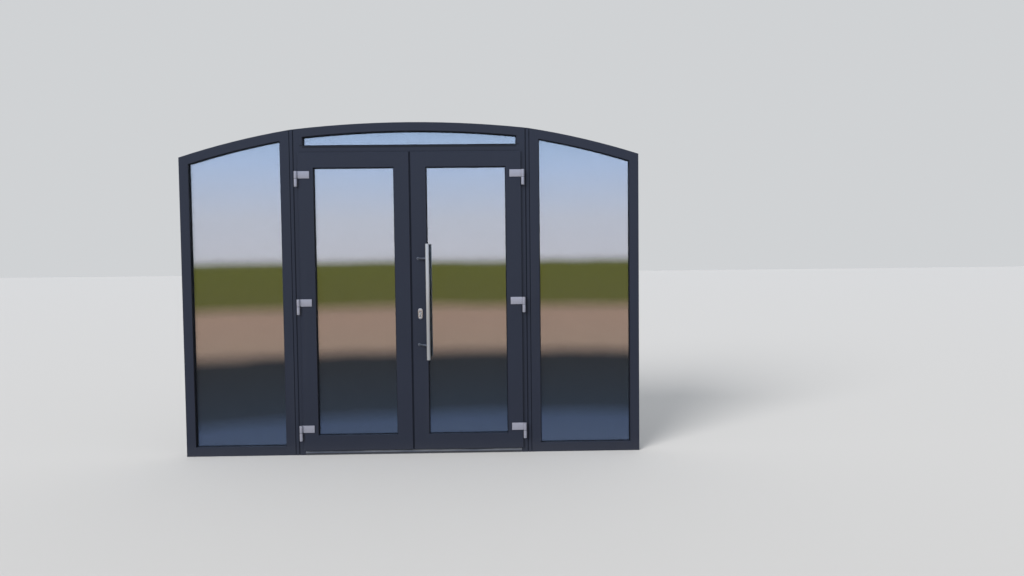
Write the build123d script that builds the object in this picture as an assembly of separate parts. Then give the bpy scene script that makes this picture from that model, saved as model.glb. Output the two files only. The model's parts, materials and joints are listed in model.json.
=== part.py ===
from build123d import *
import os
from math import hypot, sqrt

# Arched glass entrance: two hinged leaves and a fanlight, between two fixed sidelights.
# Millimetres. +X is to the right seen from outside, +Y points into the building, +Z is up.
# The origin is under the middle of the doorway, half-way through the depth of the frames.
# In every section below, an inset is measured inwards from the outline of a frame or an opening,
# and a level is a distance along Y.

# Overall sizes
door_frame_width = 1600.0
sidelight_width = 760.0
coupling_width = 30.0
crown_height = 2315.0
arch_rise = 230.0
door_arch_radius = 7400.0
side_arch_radius = 5300.0

# Frame profile
frame_depth = 70.0
frame_body = 42.0
lip_width = 24.0
outer_lip_depth = 21.0
profile_wall = 3.0
lip_bevel_width = 3.0
lip_bevel_depth = 4.0
corner_bevel = 1.0

# Transom and threshold
transom_drop = 217.0
transom_body = 44.0
threshold_base_height = 16.0
threshold_height = 14.0
threshold_nose = 10.0
threshold_nose_slope = 6.0
threshold_wall = 3.0

# Coupling profile
coupling_door_joint = 6.0
coupling_side_joint = 4.0
coupling_groove_depth = 7.0

# Sash profile
sash_depth = 70.0
sash_proud = 18.0
sash_overlap = 12.0
sash_rebate_gap = 4.0
sash_body = 68.0
sash_bevel = 3.0
seal_gap = 3.0
seal_clearance = 0.3
seal_width = 10.0
threshold_gap = 4.0
meeting_gap = 9.0

# Glazing
pane_thickness = 4.0
pane_cavity = 16.0
pane_edge_gap = 5.0
spacer_width = 12.0
gasket_thickness = 3.0
gasket_reveal = 4.0
gasket_slope = 2.0
gasket_cover = 12.0
bead_slope = 4.0
fan_bead_width = 20.0

# Reinforcement
steel_wall = 2.0
steel_end_gap = 60.0
sash_steel_width = 41.0

# Anchor holes through the outer jambs
anchor_radius = 5.5
anchor_above_floor = 250.0
anchor_below_springing = 185.0

# Hinges
hinge_axis_offset = 12.0
hinge_barrel_radius = 11.0
hinge_plate_length = 92.0
hinge_plate_thickness = 6.0
hinge_eye_height = 50.0
hinge_knuckle_height = 53.0
hinge_pin_radius = 5.0
hinge_pin_clearance = 0.05
hinge_bush_wall = 2.0
hinge_bush_flange = 2.5
hinge_bearing_gap = 0.2
hinge_eye_cap = 5.0
hinge_foot_width = 18.0
hinge_foot_margin = 3.0
hinge_base_thickness = 3.0
hinge_base_gap = 1.5
hinge_end_distance = 154.0

# Pull bar
bar_radius = 12.5
bar_wall = 1.5
bar_length = 800.0
bar_bracket_spacing = 600.0
bar_above_cylinder = 84.0
bar_offset = 70.0
bar_cap_thickness = 3.0
bracket_distance = 45.5
bracket_radius = 7.0
bracket_flange_radius = 10.0
bracket_flange_thickness = 4.0

# Lock
backset = 55.5
cylinder_height = 988.0
spindle_spacing = 92.0
bolt_above_cylinder = 37.0
latch_above_cylinder = 137.0
case_width = 71.0
case_thickness = 16.0
case_wall = 1.5
case_below = 43.0
case_above = 177.0
faceplate_thickness = 3.0
faceplate_width = 20.0
faceplate_overlap = 32.0
bolt_thickness = 12.0
bolt_height = 24.0
bolt_length = 40.0
latch_height = 18.0
bolt_throw = 20.0
latch_throw = 12.0
bolt_clearance = 0.2
keeper_depth = 2.0
strike_thickness = 2.0
strike_margin = 25.0

# Lock cylinder and escutcheon
cylinder_radius = 8.5
cylinder_tail_width = 10.0
cylinder_tail_drop = 24.5
cylinder_standout = 10.0
cylinder_clearance = 0.3
plug_radius = 6.45
plug_clearance = 0.05
plug_standout = 1.0
keyway_width = 2.2
keyway_height = 8.0
keyway_depth = 20.0
cam_radius = 15.0
cam_width = 10.0
cam_clearance = 0.25
cam_thickness = 8.0
escutcheon_width = 32.0
escutcheon_height = 76.0
escutcheon_thickness = 8.0
escutcheon_edge = 2.0

# Inner lever and backplate
spindle_size = 8.0
spindle_hole_radius = 6.5
lever_neck_radius = 9.0
lever_neck_clearance = 0.05
lever_neck_length = 36.0
lever_grip_radius = 9.5
lever_length = 128.0
lever_end_rounding = 6.0
lever_tail = 14.0
backplate_width = 32.0
backplate_height = 236.0
backplate_thickness = 8.0
backplate_edge = 2.0

# Shoot bolts of the passive leaf
shoot_radius = 4.0
shoot_clearance = 0.08
shoot_length = 150.0
shoot_throw = 16.0
shoot_level = -10.0
knob_size = 6.0
knob_inset = 0.5
knob_clearance = 1.0
keeper_thickness = 2.0
keeper_length = 40.0
keeper_width = 15.0

# Levels and places worked out from the sizes above
springing_height = crown_height - arch_rise
transom_bottom = crown_height - transom_drop
anchor_outer_spacing = springing_height - anchor_below_springing - anchor_above_floor
anchor_inner_spacing = anchor_outer_spacing / 3
anchor_centre_height = anchor_above_floor + anchor_outer_spacing / 2
door_half = door_frame_width / 2
joint_outer = door_half + coupling_width
unit_half = joint_outer + sidelight_width
joint_middle = door_half + coupling_width / 2
frame_front = -frame_depth / 2
frame_back = frame_depth / 2
frame_face = frame_body + lip_width
sash_front = frame_front - sash_proud
sash_back = sash_front + sash_depth
sash_lip_back = frame_front - seal_gap
sash_middle = (sash_front + sash_back) / 2
door_lip_front = sash_back + seal_gap
threshold_top = threshold_base_height + threshold_height
opening_half = door_half - frame_body
sash_outer = opening_half + sash_overlap
sash_bottom = threshold_top + threshold_gap
sash_top = transom_bottom + sash_overlap
sash_middle_height = (sash_bottom + sash_top) / 2
sash_step = sash_overlap + sash_rebate_gap
sash_body_end = sash_step + sash_body
sash_face = sash_body_end + lip_width
meeting_edge = meeting_gap / 2
transom_top = transom_bottom + transom_body
beyond = 50.0
overrun = 2.0


def box(x_range, y_range, z_range):
    """Block between two values along each axis."""
    sides = [high - low for low, high in (x_range, y_range, z_range)]
    middle = [(high + low) / 2 for low, high in (x_range, y_range, z_range)]
    return Pos(*middle) * Box(*sides)


def around(middle, half):
    """Range of a given half-width about a middle value."""
    return middle - half, middle + half


def rod_z(x, y, radius, z_low, z_high):
    """Upright cylinder."""
    return Pos(x, y, (z_low + z_high) / 2) * Cylinder(radius, z_high - z_low)


def rod_y(x, z, radius, y_low, y_high):
    """Cylinder that runs through the depth."""
    return Pos(x, (y_low + y_high) / 2, z) * Rot(90, 0, 0) * Cylinder(radius, y_high - y_low)


def rod_x(y, z, radius, x_low, x_high):
    """Cylinder that runs along the width."""
    return Pos((x_low + x_high) / 2, y, z) * Rot(0, 90, 0) * Cylinder(radius, x_high - x_low)


def flip(part):
    """The same piece on the other side of the middle."""
    return mirror(part, about=Plane.YZ)


def arc_centre(start, end, radius):
    """Centre, below the arc, of the circle of this radius through two points in the X-Z plane."""
    run = end[0] - start[0]
    rise = end[1] - start[1]
    chord = hypot(run, rise)
    lift = sqrt(radius**2 - (chord / 2) ** 2)
    middle_x = (start[0] + end[0]) / 2
    middle_z = (start[1] + end[1]) / 2
    return middle_x + lift * rise / chord, middle_z - lift * run / chord


door_arc = (0.0, crown_height - door_arch_radius)
joint_height = door_arc[1] + sqrt(door_arch_radius**2 - joint_middle**2)
side_arc = arc_centre((joint_middle, joint_height), (unit_half, springing_height), side_arch_radius)


class Outline:
    """Four-sided outline in the X-Z plane, with an arched or a level head."""

    def __init__(self, left, right, bottom, top=None, arc=None, radius=None):
        self.left = left
        self.right = right
        self.bottom = bottom
        self.top = top
        self.arc = arc
        self.radius = radius

    def head(self, x, inset):
        """Height of the head at x, with the outline drawn in by an inset."""
        if self.arc is None:
            return self.top - inset
        return self.arc[1] + sqrt((self.radius - inset) ** 2 - (x - self.arc[0]) ** 2)

    def face(self, inset, level):
        """The outline as a face at one level of depth."""
        left = self.left + inset
        right = self.right - inset
        bottom = self.bottom + inset
        heads = [(x, self.head(x, inset)) for x in (right, left)]
        corners = [(x, level, z) for x, z in [(left, bottom), (right, bottom)] + heads]
        if self.arc is None:
            head = Line(corners[2], corners[3])
        else:
            middle = (left + right) / 2
            head = ThreePointArc(corners[2], (middle, level, self.head(middle, inset)), corners[3])
        sill = Line(corners[0], corners[1])
        return make_face([sill, Line(corners[1], corners[2]), head, Line(corners[3], corners[0])])

    def drawn_in(self, inset):
        """The outline moved inwards all round."""
        top = None if self.top is None else self.top - inset
        radius = None if self.radius is None else self.radius - inset
        return Outline(
            self.left + inset, self.right - inset, self.bottom + inset, top, self.arc, radius
        )


def prism(outline, sections):
    """Solid through sections of the outline, each an inset and a level, from front to back."""
    solid = Part()
    for (inset, level), (next_inset, next_level) in zip(sections, sections[1:]):
        if level == next_level:
            continue
        face = outline.face(inset, level)
        if inset == next_inset:
            solid += extrude(face, amount=next_level - level, dir=(0, 1, 0))
        else:
            solid += loft([face, outline.face(next_inset, next_level)], ruled=True)
    return solid


def ring(outline, outside, inside):
    """Closed frame: the outside sections less the inside sections, which run past both ends."""
    first_inset, first_level = inside[0]
    last_inset, last_level = inside[-1]
    hole = [(first_inset, first_level - overrun)] + inside + [(last_inset, last_level + overrun)]
    return prism(outline, outside) - prism(outline, hole)


def band(outline, inset_range, level_range):
    """Plain closed frame between two insets and two levels."""
    levels = list(level_range)
    outside = [(inset_range[0], level) for level in levels]
    return ring(outline, outside, [(inset_range[1], level) for level in levels])


def bevelled(inset, front, back):
    """Straight outer side with a small bevel at the front and the back."""
    return [
        (inset + corner_bevel, front),
        (inset, front + corner_bevel),
        (inset, back - corner_bevel),
        (inset + corner_bevel, back),
    ]


def chamber(outline, insets, levels):
    """Hollow of a profile, one wall inside its skin."""
    inset_range = (insets[0] + profile_wall, insets[1] - profile_wall)
    level_range = (levels[0] + profile_wall, levels[1] - profile_wall)
    return band(outline, inset_range, level_range)


def sidelight_frame(outline):
    """Fixed frame with its glazing lip outside, and anchor holes through the outer jamb."""
    inside = [
        (frame_face - lip_bevel_width, frame_front),
        (frame_face, frame_front + lip_bevel_depth),
        (frame_face, frame_front + outer_lip_depth),
        (frame_body, frame_front + outer_lip_depth),
        (frame_body, frame_back),
    ]
    frame = ring(outline, bevelled(0, frame_front, frame_back), inside)
    frame -= chamber(outline, (0, frame_body), (frame_front, frame_back))
    jamb = (outline.right - frame_body - overrun, outline.right + overrun)
    for spacing in (anchor_outer_spacing, anchor_inner_spacing):
        for height in around(anchor_centre_height, spacing / 2):
            frame -= rod_x(0, height, anchor_radius, *jamb)
    return frame


def above_ground(part):
    """The stretch of a piece above the bottom of the frames."""
    tall = crown_height + beyond
    return part & box((-unit_half, unit_half), around(0, frame_depth), (0, tall))


def door_frame_profile(outline):
    """Door frame, open at the bottom, with the stop lip for the leaves inside."""
    inside = [
        (frame_body, frame_front),
        (frame_body, door_lip_front),
        (frame_face, door_lip_front),
        (frame_face, frame_back),
    ]
    frame = ring(outline, bevelled(0, frame_front, frame_back), inside)
    return above_ground(frame - chamber(outline, (0, frame_body), (frame_front, frame_back)))


def shoot_hole(extra, z_low, z_high):
    """Room for a shoot bolt, with some extra radius."""
    return rod_z(shoot_x, shoot_level, shoot_radius + extra, z_low, z_high)


def transom_bar(frame):
    """Hollow bar between the jambs, cut round their lips, with a lip inside above and below."""
    run = (-opening_half, opening_half)
    bar = box(run, (frame_front, frame_back), (transom_bottom, transom_top))
    lip_range = (transom_bottom - lip_width, transom_top + lip_width)
    bar += box(run, (door_lip_front, frame_back), lip_range)
    bar -= box(run, *transom_hollow)
    return bar - frame - shoot_hole(shoot_clearance, transom_bottom - overrun, transom_bottom + beyond / 2)


def shrink(span, wall):
    """Range drawn in by one wall at each end."""
    return span[0] + wall, span[1] - wall


transom_hollow = (
    shrink((frame_front, frame_back), profile_wall),
    shrink((transom_bottom, transom_top), profile_wall),
)


def tube_along(axis, run, first, second):
    """Open rectangular steel tube along X or Z that fills a hollow of the given section."""
    inner_first = shrink(first, steel_wall)
    inner_second = shrink(second, steel_wall)
    if axis == "x":
        return box(run, first, second) - box(run, inner_first, inner_second)
    return box(first, second, run) - box(inner_first, inner_second, run)


def door_frame_reinforcement():
    """Steel tubes in both jambs and in the transom."""
    hollow = shrink((door_half - frame_body, door_half), profile_wall)
    levels = shrink((frame_front, frame_back), profile_wall)
    head = door_outline.head(door_half, frame_body)
    jamb = tube_along("z", (steel_end_gap, head - steel_end_gap), hollow, levels)
    run = around(0, opening_half - steel_end_gap)
    bar = tube_along("x", run, *transom_hollow)
    bar -= shoot_hole(shoot_clearance, transom_bottom, transom_bottom + beyond / 2)
    return jamb + flip(jamb) + bar


def coupling_profile():
    """Hollow strip between two frames, with a joint along each edge of both its faces."""
    left = door_half
    right = joint_outer
    heads = [door_outline.head(left, 0), side_outline.head(right, 0)]
    corners = [(left, 0), (right, 0), (right, heads[1]), (left, heads[0])]
    spots = [(x, frame_front, z) for x, z in corners]
    sides = [Line(a, b) for a, b in zip(spots, spots[1:] + spots[:1])]
    strip = extrude(make_face(sides), amount=frame_depth, dir=(0, 1, 0))
    tall = (-overrun, crown_height + beyond)
    door_joint = (left - overrun, left + coupling_door_joint)
    side_joint = (right - coupling_side_joint, right + overrun)
    for groove in (door_joint, side_joint):
        strip -= box(groove, (frame_front - overrun, frame_front + coupling_groove_depth), tall)
        strip -= box(groove, (frame_back - coupling_groove_depth, frame_back + overrun), tall)
    levels = shrink((frame_front + coupling_groove_depth, frame_back - coupling_groove_depth), profile_wall)
    return strip - box(shrink((left, right), profile_wall), levels, (-overrun, heads[1] - profile_wall))


def threshold(frame):
    """Hollow aluminium sill with a sloped nose under the leaves, cut round the jambs' lips."""
    nose = frame_front - threshold_nose
    corners = [
        (nose, threshold_base_height),
        (frame_back, threshold_base_height),
        (frame_back, threshold_top),
        (nose + threshold_nose_slope, threshold_top),
        (nose, threshold_top - threshold_nose_slope),
    ]
    spots = [(-opening_half, y, z) for y, z in corners]
    sides = [Line(a, b) for a, b in zip(spots, spots[1:] + spots[:1])]
    sill = extrude(make_face(sides), amount=2 * opening_half, dir=(1, 0, 0))
    hollow = (
        (nose + threshold_nose_slope, frame_back - threshold_wall),
        shrink((threshold_base_height, threshold_top), threshold_wall),
    )
    sill -= box((-opening_half, opening_half), *hollow)
    return sill - frame - shoot_hole(shoot_clearance, threshold_base_height, threshold_top + overrun)


def threshold_base(frame):
    """Plain insulating block that carries the sill, cut round the jambs' lips."""
    block = box((-opening_half, opening_half), (frame_front, frame_back), (0, threshold_base_height))
    return block - frame


def frame_seal():
    """Rubber strip on the stop lip, round three sides of the doorway."""
    opening = Outline(-opening_half, opening_half, -beyond, transom_bottom)
    middle = lip_width / 2
    levels = (sash_back + seal_clearance, door_lip_front)
    strip = band(opening, around(middle, seal_width / 2), levels)
    return strip & box((-opening_half, opening_half), levels, (threshold_top, transom_bottom))


def shoot_keepers():
    """Flat plates on the transom and on the sill, with a hole for each shoot bolt."""
    run = around(shoot_x, keeper_length / 2)
    levels = around(shoot_level, keeper_width / 2)
    upper = box(run, levels, (transom_bottom - keeper_thickness, transom_bottom))
    lower = box(run, levels, (threshold_top, threshold_top + keeper_thickness))
    return upper + lower - shoot_hole(shoot_clearance, 0, crown_height)


def panes(outline, front):
    """The two panes of a sealed unit."""
    edge = outline.drawn_in(pane_edge_gap)
    outer = prism(edge, [(0, front), (0, front + pane_thickness)])
    inner_front = front + pane_thickness + pane_cavity
    return outer + prism(edge, [(0, inner_front), (0, inner_front + pane_thickness)])


def spacer(outline, front):
    """Bar round the edge, between the panes."""
    levels = (front + pane_thickness, front + pane_thickness + pane_cavity)
    return band(outline, (pane_edge_gap, pane_edge_gap + spacer_width), levels)


def gasket(outline, front, bead_width):
    """Black strip round the outer pane, which shows a little past the lip."""
    sight = bead_width + gasket_reveal
    inside = [(sight - gasket_slope, front - gasket_thickness), (sight, front)]
    outside = [(gasket_cover, front - gasket_thickness), (gasket_cover, front)]
    return ring(outline, outside, inside)


def bead(outline, bead_width, front, back, sloped_front):
    """Glazing bead, sloped on the side away from the glass."""
    slope = bead_width - bead_slope
    if sloped_front:
        inside = [(slope, front), (bead_width, front + bead_slope), (bead_width, back)]
    else:
        inside = [(bead_width, front), (bead_width, back - bead_slope), (slope, back)]
    return ring(outline, [(0, front), (0, back)], inside)


def glazing(outline, front, bead_width, bead_levels, sloped_front):
    """The four pieces of a glazed opening, by the last part of their names."""
    return {
        "panes": panes(outline, front),
        "spacer": spacer(outline, front),
        "gasket": gasket(outline, front, bead_width),
        "bead": bead(outline, bead_width, *bead_levels, sloped_front),
    }


def sash(outline):
    """Hollow sash with an overlap lip outside and a glazing lip outside."""
    outside = [
        (sash_bevel, sash_front),
        (0, sash_front + sash_bevel),
        (0, sash_lip_back),
        (sash_step, sash_lip_back),
        (sash_step, sash_back),
    ]
    inside = [
        (sash_face - lip_bevel_width, sash_front),
        (sash_face, sash_front + lip_bevel_depth),
        (sash_face, sash_front + outer_lip_depth),
        (sash_body_end, sash_front + outer_lip_depth),
        (sash_body_end, sash_back),
    ]
    solid = ring(outline, outside, inside)
    return solid - chamber(outline, (sash_step, sash_body_end), (sash_front, sash_back))


def sash_reinforcement(outline):
    """Four steel channels in the sash, open towards its edge, that stop short of the corners."""
    back = sash_body_end - profile_wall
    levels = shrink((sash_front, sash_back), profile_wall)
    steel = band(outline, (back - sash_steel_width, back), levels)
    steel -= band(outline, (0, back - steel_wall), shrink(levels, steel_wall))
    corner = sash_body_end + steel_end_gap
    for x in (outline.left, outline.right):
        for z in (outline.bottom, outline.top):
            steel -= box(around(x, corner), around(0, frame_depth), around(z, corner))
    return steel


def edge_profile(z_range):
    """Closing profile in the groove of a meeting stile, on the right-hand leaf."""
    return box((meeting_edge, meeting_edge + sash_step), (sash_lip_back, sash_back), z_range)


def bottom_profile():
    """Closing profile in the bottom groove, with a fin that runs just over the sill."""
    run = (meeting_edge, sash_outer - sash_step)
    bar = box(run, (sash_lip_back, sash_back), (sash_bottom, sash_bottom + sash_step))
    low = threshold_top + keeper_thickness + seal_clearance
    fin_front = shoot_level + keeper_width / 2 + knob_clearance
    return bar + box(run, (fin_front, fin_front + seal_gap), (low, sash_bottom))


def hinge_heights():
    """Middle of each hinge plate: one near each end of the leaf and one half-way."""
    return (
        sash_bottom + hinge_end_distance,
        sash_middle_height,
        sash_top - hinge_end_distance,
    )


hinge_x = sash_outer + hinge_axis_offset
hinge_y = sash_front - hinge_barrel_radius
eye_half = hinge_eye_height / 2
bush_top = eye_half - hinge_eye_cap
bush_outer = hinge_pin_radius + hinge_pin_clearance + hinge_bush_wall
knuckle_top = -eye_half - hinge_bush_flange - hinge_bearing_gap
knuckle_bottom = knuckle_top - hinge_knuckle_height


def hinge_leaves():
    """Plates on the hinge stile, each with the upper half of the barrel."""
    group = Part()
    for z in hinge_heights():
        plate_levels = (sash_front - hinge_plate_thickness, sash_front)
        plate = box((hinge_x - hinge_plate_length, hinge_x), plate_levels, around(z, eye_half))
        plate += rod_z(hinge_x, hinge_y, hinge_barrel_radius, z - eye_half, z + eye_half)
        group += plate - rod_z(hinge_x, hinge_y, bush_outer, z - eye_half, z + bush_top)
    return group


def hinge_bushes():
    """Flanged bushes in the barrels of the plates."""
    group = Part()
    for z in hinge_heights():
        bush = rod_z(hinge_x, hinge_y, bush_outer, z - eye_half, z + bush_top)
        bush += rod_z(hinge_x, hinge_y, hinge_barrel_radius, z - eye_half - hinge_bush_flange, z - eye_half)
        hole = hinge_pin_radius + hinge_pin_clearance
        group += bush - rod_z(hinge_x, hinge_y, hole, z - eye_half - hinge_bush_flange, z + bush_top)
    return group


def hinge_knuckles():
    """Lower halves of the barrels, each on a foot that is screwed to the jamb."""
    group = Part()
    for z in hinge_heights():
        bottom = z + knuckle_bottom
        top = z + knuckle_top
        knuckle = rod_z(hinge_x, hinge_y, hinge_barrel_radius, bottom, top)
        foot = shrink((bottom, top), hinge_foot_margin)
        knuckle += box(around(hinge_x, hinge_foot_width / 2), (hinge_y, frame_front), foot)
        base = (sash_outer + hinge_base_gap, hinge_x + hinge_barrel_radius)
        knuckle += box(base, (frame_front - hinge_base_thickness, frame_front), foot)
        group += knuckle - rod_z(hinge_x, hinge_y, hinge_pin_radius, bottom, top)
    return group


def hinge_pins():
    """Pins of one leaf, pressed into the knuckles."""
    group = Part()
    for z in hinge_heights():
        top = z + bush_top - hinge_bearing_gap
        group += rod_z(hinge_x, hinge_y, hinge_pin_radius, z + knuckle_bottom, top)
    return group


bracket_x = meeting_edge + bracket_distance
bar_x = bracket_x + bar_offset
bar_y = sash_front - bar_offset
bar_middle_height = cylinder_height + bar_above_cylinder
bar_bottom = bar_middle_height - bar_length / 2
bar_top = bar_middle_height + bar_length / 2


def pull_bar():
    """Closed upright tube."""
    tube = rod_z(bar_x, bar_y, bar_radius, bar_bottom, bar_top)
    hollow = shrink((bar_bottom, bar_top), bar_cap_thickness)
    return tube - rod_z(bar_x, bar_y, bar_radius - bar_wall, *hollow)


def pull_bar_brackets():
    """Slanted stays with a round flange on the sash, cut to the bar."""
    group = Part()
    reach = hypot(bar_offset, bar_offset)
    for z in around(bar_middle_height, bar_bracket_spacing / 2):
        flange_front = sash_front - bracket_flange_thickness
        flange = rod_y(bracket_x, z, bracket_flange_radius, flange_front, sash_front)
        slant = Pos((bracket_x + bar_x) / 2, (sash_front + bar_y) / 2, z) * Rot(90, 0, 0) * Rot(0, 45, 0)
        stay = slant * Cylinder(bracket_radius, reach)
        stay -= box(around(bracket_x, beyond), (sash_front, sash_front + beyond), around(z, beyond))
        group += flange + stay - rod_z(bar_x, bar_y, bar_radius, z - beyond, z + beyond)
    return group


lock_x = meeting_edge + backset
spindle_height = cylinder_height + spindle_spacing
bolt_z = cylinder_height + bolt_above_cylinder
latch_z = cylinder_height + latch_above_cylinder
case_levels = around(sash_middle, case_thickness / 2)
case_heights = (cylinder_height - case_below, cylinder_height + case_above)
case_front = meeting_edge + faceplate_thickness
cylinder_front = sash_front - cylinder_standout
cylinder_back = sash_back + cylinder_standout


def cylinder_shape(extra, levels):
    """The cylinder's keyhole-shaped section, drawn out by some extra, between two levels."""
    body = rod_y(lock_x, cylinder_height, cylinder_radius + extra, *levels)
    half = cylinder_tail_width / 2 + extra
    low = cylinder_height - cylinder_tail_drop - extra + half
    body += box(around(lock_x, half), levels, (low, cylinder_height))
    return body + rod_y(lock_x, low, half, *levels)


def lock_cylinder():
    """Cylinder body with a round bore for the plug and a slot for the cam."""
    body = cylinder_shape(0, (cylinder_front, cylinder_back))
    slot = around(sash_middle, cam_width / 2 + cam_clearance)
    body -= rod_y(lock_x, cylinder_height, cam_radius + 2 * cam_clearance, *slot)
    bore = (cylinder_front - overrun, cylinder_back + overrun)
    return body - rod_y(lock_x, cylinder_height, plug_radius + plug_clearance, *bore)


def cylinder_plug():
    """Turning plug with a keyway at each end and the cam in the middle."""
    front = cylinder_front - plug_standout
    back = cylinder_back + plug_standout
    plug = rod_y(lock_x, cylinder_height, plug_radius, front, back)
    keyway = (around(lock_x, keyway_width / 2), around(cylinder_height, keyway_height / 2))
    for levels in ((front, front + keyway_depth), (back - keyway_depth, back)):
        plug -= box(keyway[0], levels, keyway[1])
    cam = rod_y(lock_x, cylinder_height, cam_radius, *around(sash_middle, cam_width / 2))
    below = (cylinder_height - cam_radius, cylinder_height)
    cam &= box(around(lock_x, cam_thickness / 2), around(sash_middle, cam_width / 2), below)
    return plug + cam


def outer_escutcheon():
    """Oval cover round the cylinder."""
    levels = (sash_front - escutcheon_thickness, sash_front)
    half = escutcheon_width / 2
    reach = escutcheon_height / 2 - half
    cover = box(around(lock_x, half), levels, around(cylinder_height, reach))
    for z in around(cylinder_height, reach):
        cover += rod_y(lock_x, z, half, *levels)
    cover = chamfer(cover.faces().sort_by(Axis.Y)[0].edges(), escutcheon_edge)
    return cover - cylinder_shape(cylinder_clearance, (levels[0] - overrun, levels[1] + overrun))


def bolt_window(z, height, levels_extra, x_range):
    """Room for the dead bolt or the latch."""
    levels = around(sash_middle, bolt_thickness / 2 + levels_extra)
    return box(x_range, levels, around(z, height / 2 + levels_extra))


def bolt_windows(extra, x_range):
    """Room for both bolts."""
    window = bolt_window(bolt_z, bolt_height, extra, x_range)
    return window + bolt_window(latch_z, latch_height, extra, x_range)


def lock_case():
    """Sheet-metal box with openings for the cylinder, the spindle and the two bolts."""
    run = (case_front, case_front + case_width)
    case = box(run, case_levels, case_heights)
    hollow = (shrink(run, case_wall), shrink(case_levels, case_wall), shrink(case_heights, case_wall))
    case -= box(*hollow)
    through = (case_levels[0] - overrun, case_levels[1] + overrun)
    case -= cylinder_shape(cylinder_clearance, through)
    case -= rod_y(lock_x, spindle_height, spindle_hole_radius, *through)
    return case - bolt_windows(bolt_clearance, (case_front - overrun, case_front + case_wall + overrun))


def lock_faceplate():
    """Plate over the edge of the lock, with a window for each bolt."""
    heights = (case_heights[0] - faceplate_overlap, case_heights[1] + faceplate_overlap)
    plate = box((meeting_edge, case_front), around(sash_middle, faceplate_width / 2), heights)
    return plate - bolt_windows(bolt_clearance, (meeting_edge - overrun, case_front + overrun))


def faceplate_pocket():
    """Room for the faceplate, and for the case behind it, in the edge profile and the sash."""
    heights = (case_heights[0] - faceplate_overlap, case_heights[1] + faceplate_overlap)
    levels = around(sash_middle, faceplate_width / 2)
    pocket = box((meeting_edge - overrun, case_front), levels, heights)
    return pocket + box((case_front, case_front + case_width), case_levels, case_heights)


def dead_bolt():
    """Square bolt, drawn back flush with the faceplate."""
    return bolt_window(bolt_z, bolt_height, 0, (meeting_edge, meeting_edge + bolt_length))


def latch_bolt():
    """Latch with a sloped nose, held back flush with the faceplate."""
    latch = bolt_window(latch_z, latch_height, 0, (meeting_edge, meeting_edge + bolt_length))
    nose = latch.edges().filter_by(Axis.Z).sort_by(Axis.X)[:2].sort_by(Axis.Y)[-1]
    return chamfer(nose, bolt_thickness - bolt_clearance * 5)


def inner_lever():
    """Lever with its spindle: a neck out of the backplate and a grip along the leaf."""
    grip_y = sash_back + backplate_thickness + lever_neck_length
    grip = rod_x(grip_y, spindle_height, lever_grip_radius, lock_x - lever_tail, lock_x + lever_length)
    lever = fillet(grip.edges().filter_by(GeomType.CIRCLE), lever_end_rounding)
    lever += rod_y(lock_x, spindle_height, lever_neck_radius, sash_back, grip_y)
    half = spindle_size / 2
    return lever + box(around(lock_x, half), (case_levels[0], sash_back), around(spindle_height, half))


def inner_backplate():
    """Long plate inside, round the lever's neck and the cylinder."""
    middle = (cylinder_height + spindle_height) / 2
    levels = (sash_back, sash_back + backplate_thickness)
    plate = box(around(lock_x, backplate_width / 2), levels, around(middle, backplate_height / 2))
    plate = chamfer(plate.faces().sort_by(Axis.Y)[-1].edges(), backplate_edge)
    through = (levels[0] - overrun, levels[1] + overrun)
    plate -= cylinder_shape(cylinder_clearance, through)
    return plate - rod_y(lock_x, spindle_height, lever_neck_radius + lever_neck_clearance, *through)


def lock_passages():
    """Room through the sash and its steel for the cylinder and the spindle."""
    through = (sash_front - overrun, sash_back + overrun)
    passage = cylinder_shape(cylinder_clearance, through)
    return passage + rod_y(lock_x, spindle_height, spindle_hole_radius, sash_middle, through[1])


# The passive leaf is built on the right and mirrored, apart from the pieces below, which are in place.
shoot_x = -meeting_edge - sash_step / 2
groove_bottom = sash_bottom + sash_step
groove_top = sash_top - sash_step
strike_heights = (bolt_z - bolt_height / 2 - strike_margin, latch_z + latch_height / 2 + strike_margin)


def strike_plate():
    """Plate on the passive leaf, with a window for each bolt of the lock."""
    run = (-meeting_edge - strike_thickness, -meeting_edge)
    plate = box(run, around(sash_middle, faceplate_width / 2), strike_heights)
    return plate - bolt_windows(2 * bolt_clearance, (run[0] - overrun, run[1] + overrun))


def strike_pocket():
    """Room in the meeting profile for the strike plate and the thrown bolts."""
    run = (-meeting_edge - strike_thickness, -meeting_edge + overrun)
    pocket = box(run, around(sash_middle, faceplate_width / 2), strike_heights)
    deep = (meeting_edge - bolt_throw - keeper_depth, -meeting_edge)
    pocket += bolt_window(bolt_z, bolt_height, 2 * bolt_clearance, deep)
    shallow = (meeting_edge - latch_throw - keeper_depth, -meeting_edge)
    return pocket + bolt_window(latch_z, latch_height, 2 * bolt_clearance, shallow)


def knob(z_range, extra):
    """Thumb piece on a shoot bolt, or its slot with some extra all round."""
    run = (shoot_x, -meeting_edge - knob_inset + extra)
    return box(run, around(shoot_level, knob_size / 2 + extra), (z_range[0] - extra, z_range[1] + extra))


upper_shoot = (groove_top - shoot_length, groove_top)
lower_shoot = (sash_bottom, sash_bottom + shoot_length)
upper_knob = (upper_shoot[0], upper_shoot[0] + knob_size)
lower_knob = (lower_shoot[1] - knob_size, lower_shoot[1])


def upper_shoot_bolt():
    """Upper shoot bolt, drawn back."""
    return shoot_hole(0, *upper_shoot) + knob(upper_knob, 0)


def lower_shoot_bolt():
    """Lower shoot bolt, drawn back."""
    return shoot_hole(0, *lower_shoot) + knob(lower_knob, 0)


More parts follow.
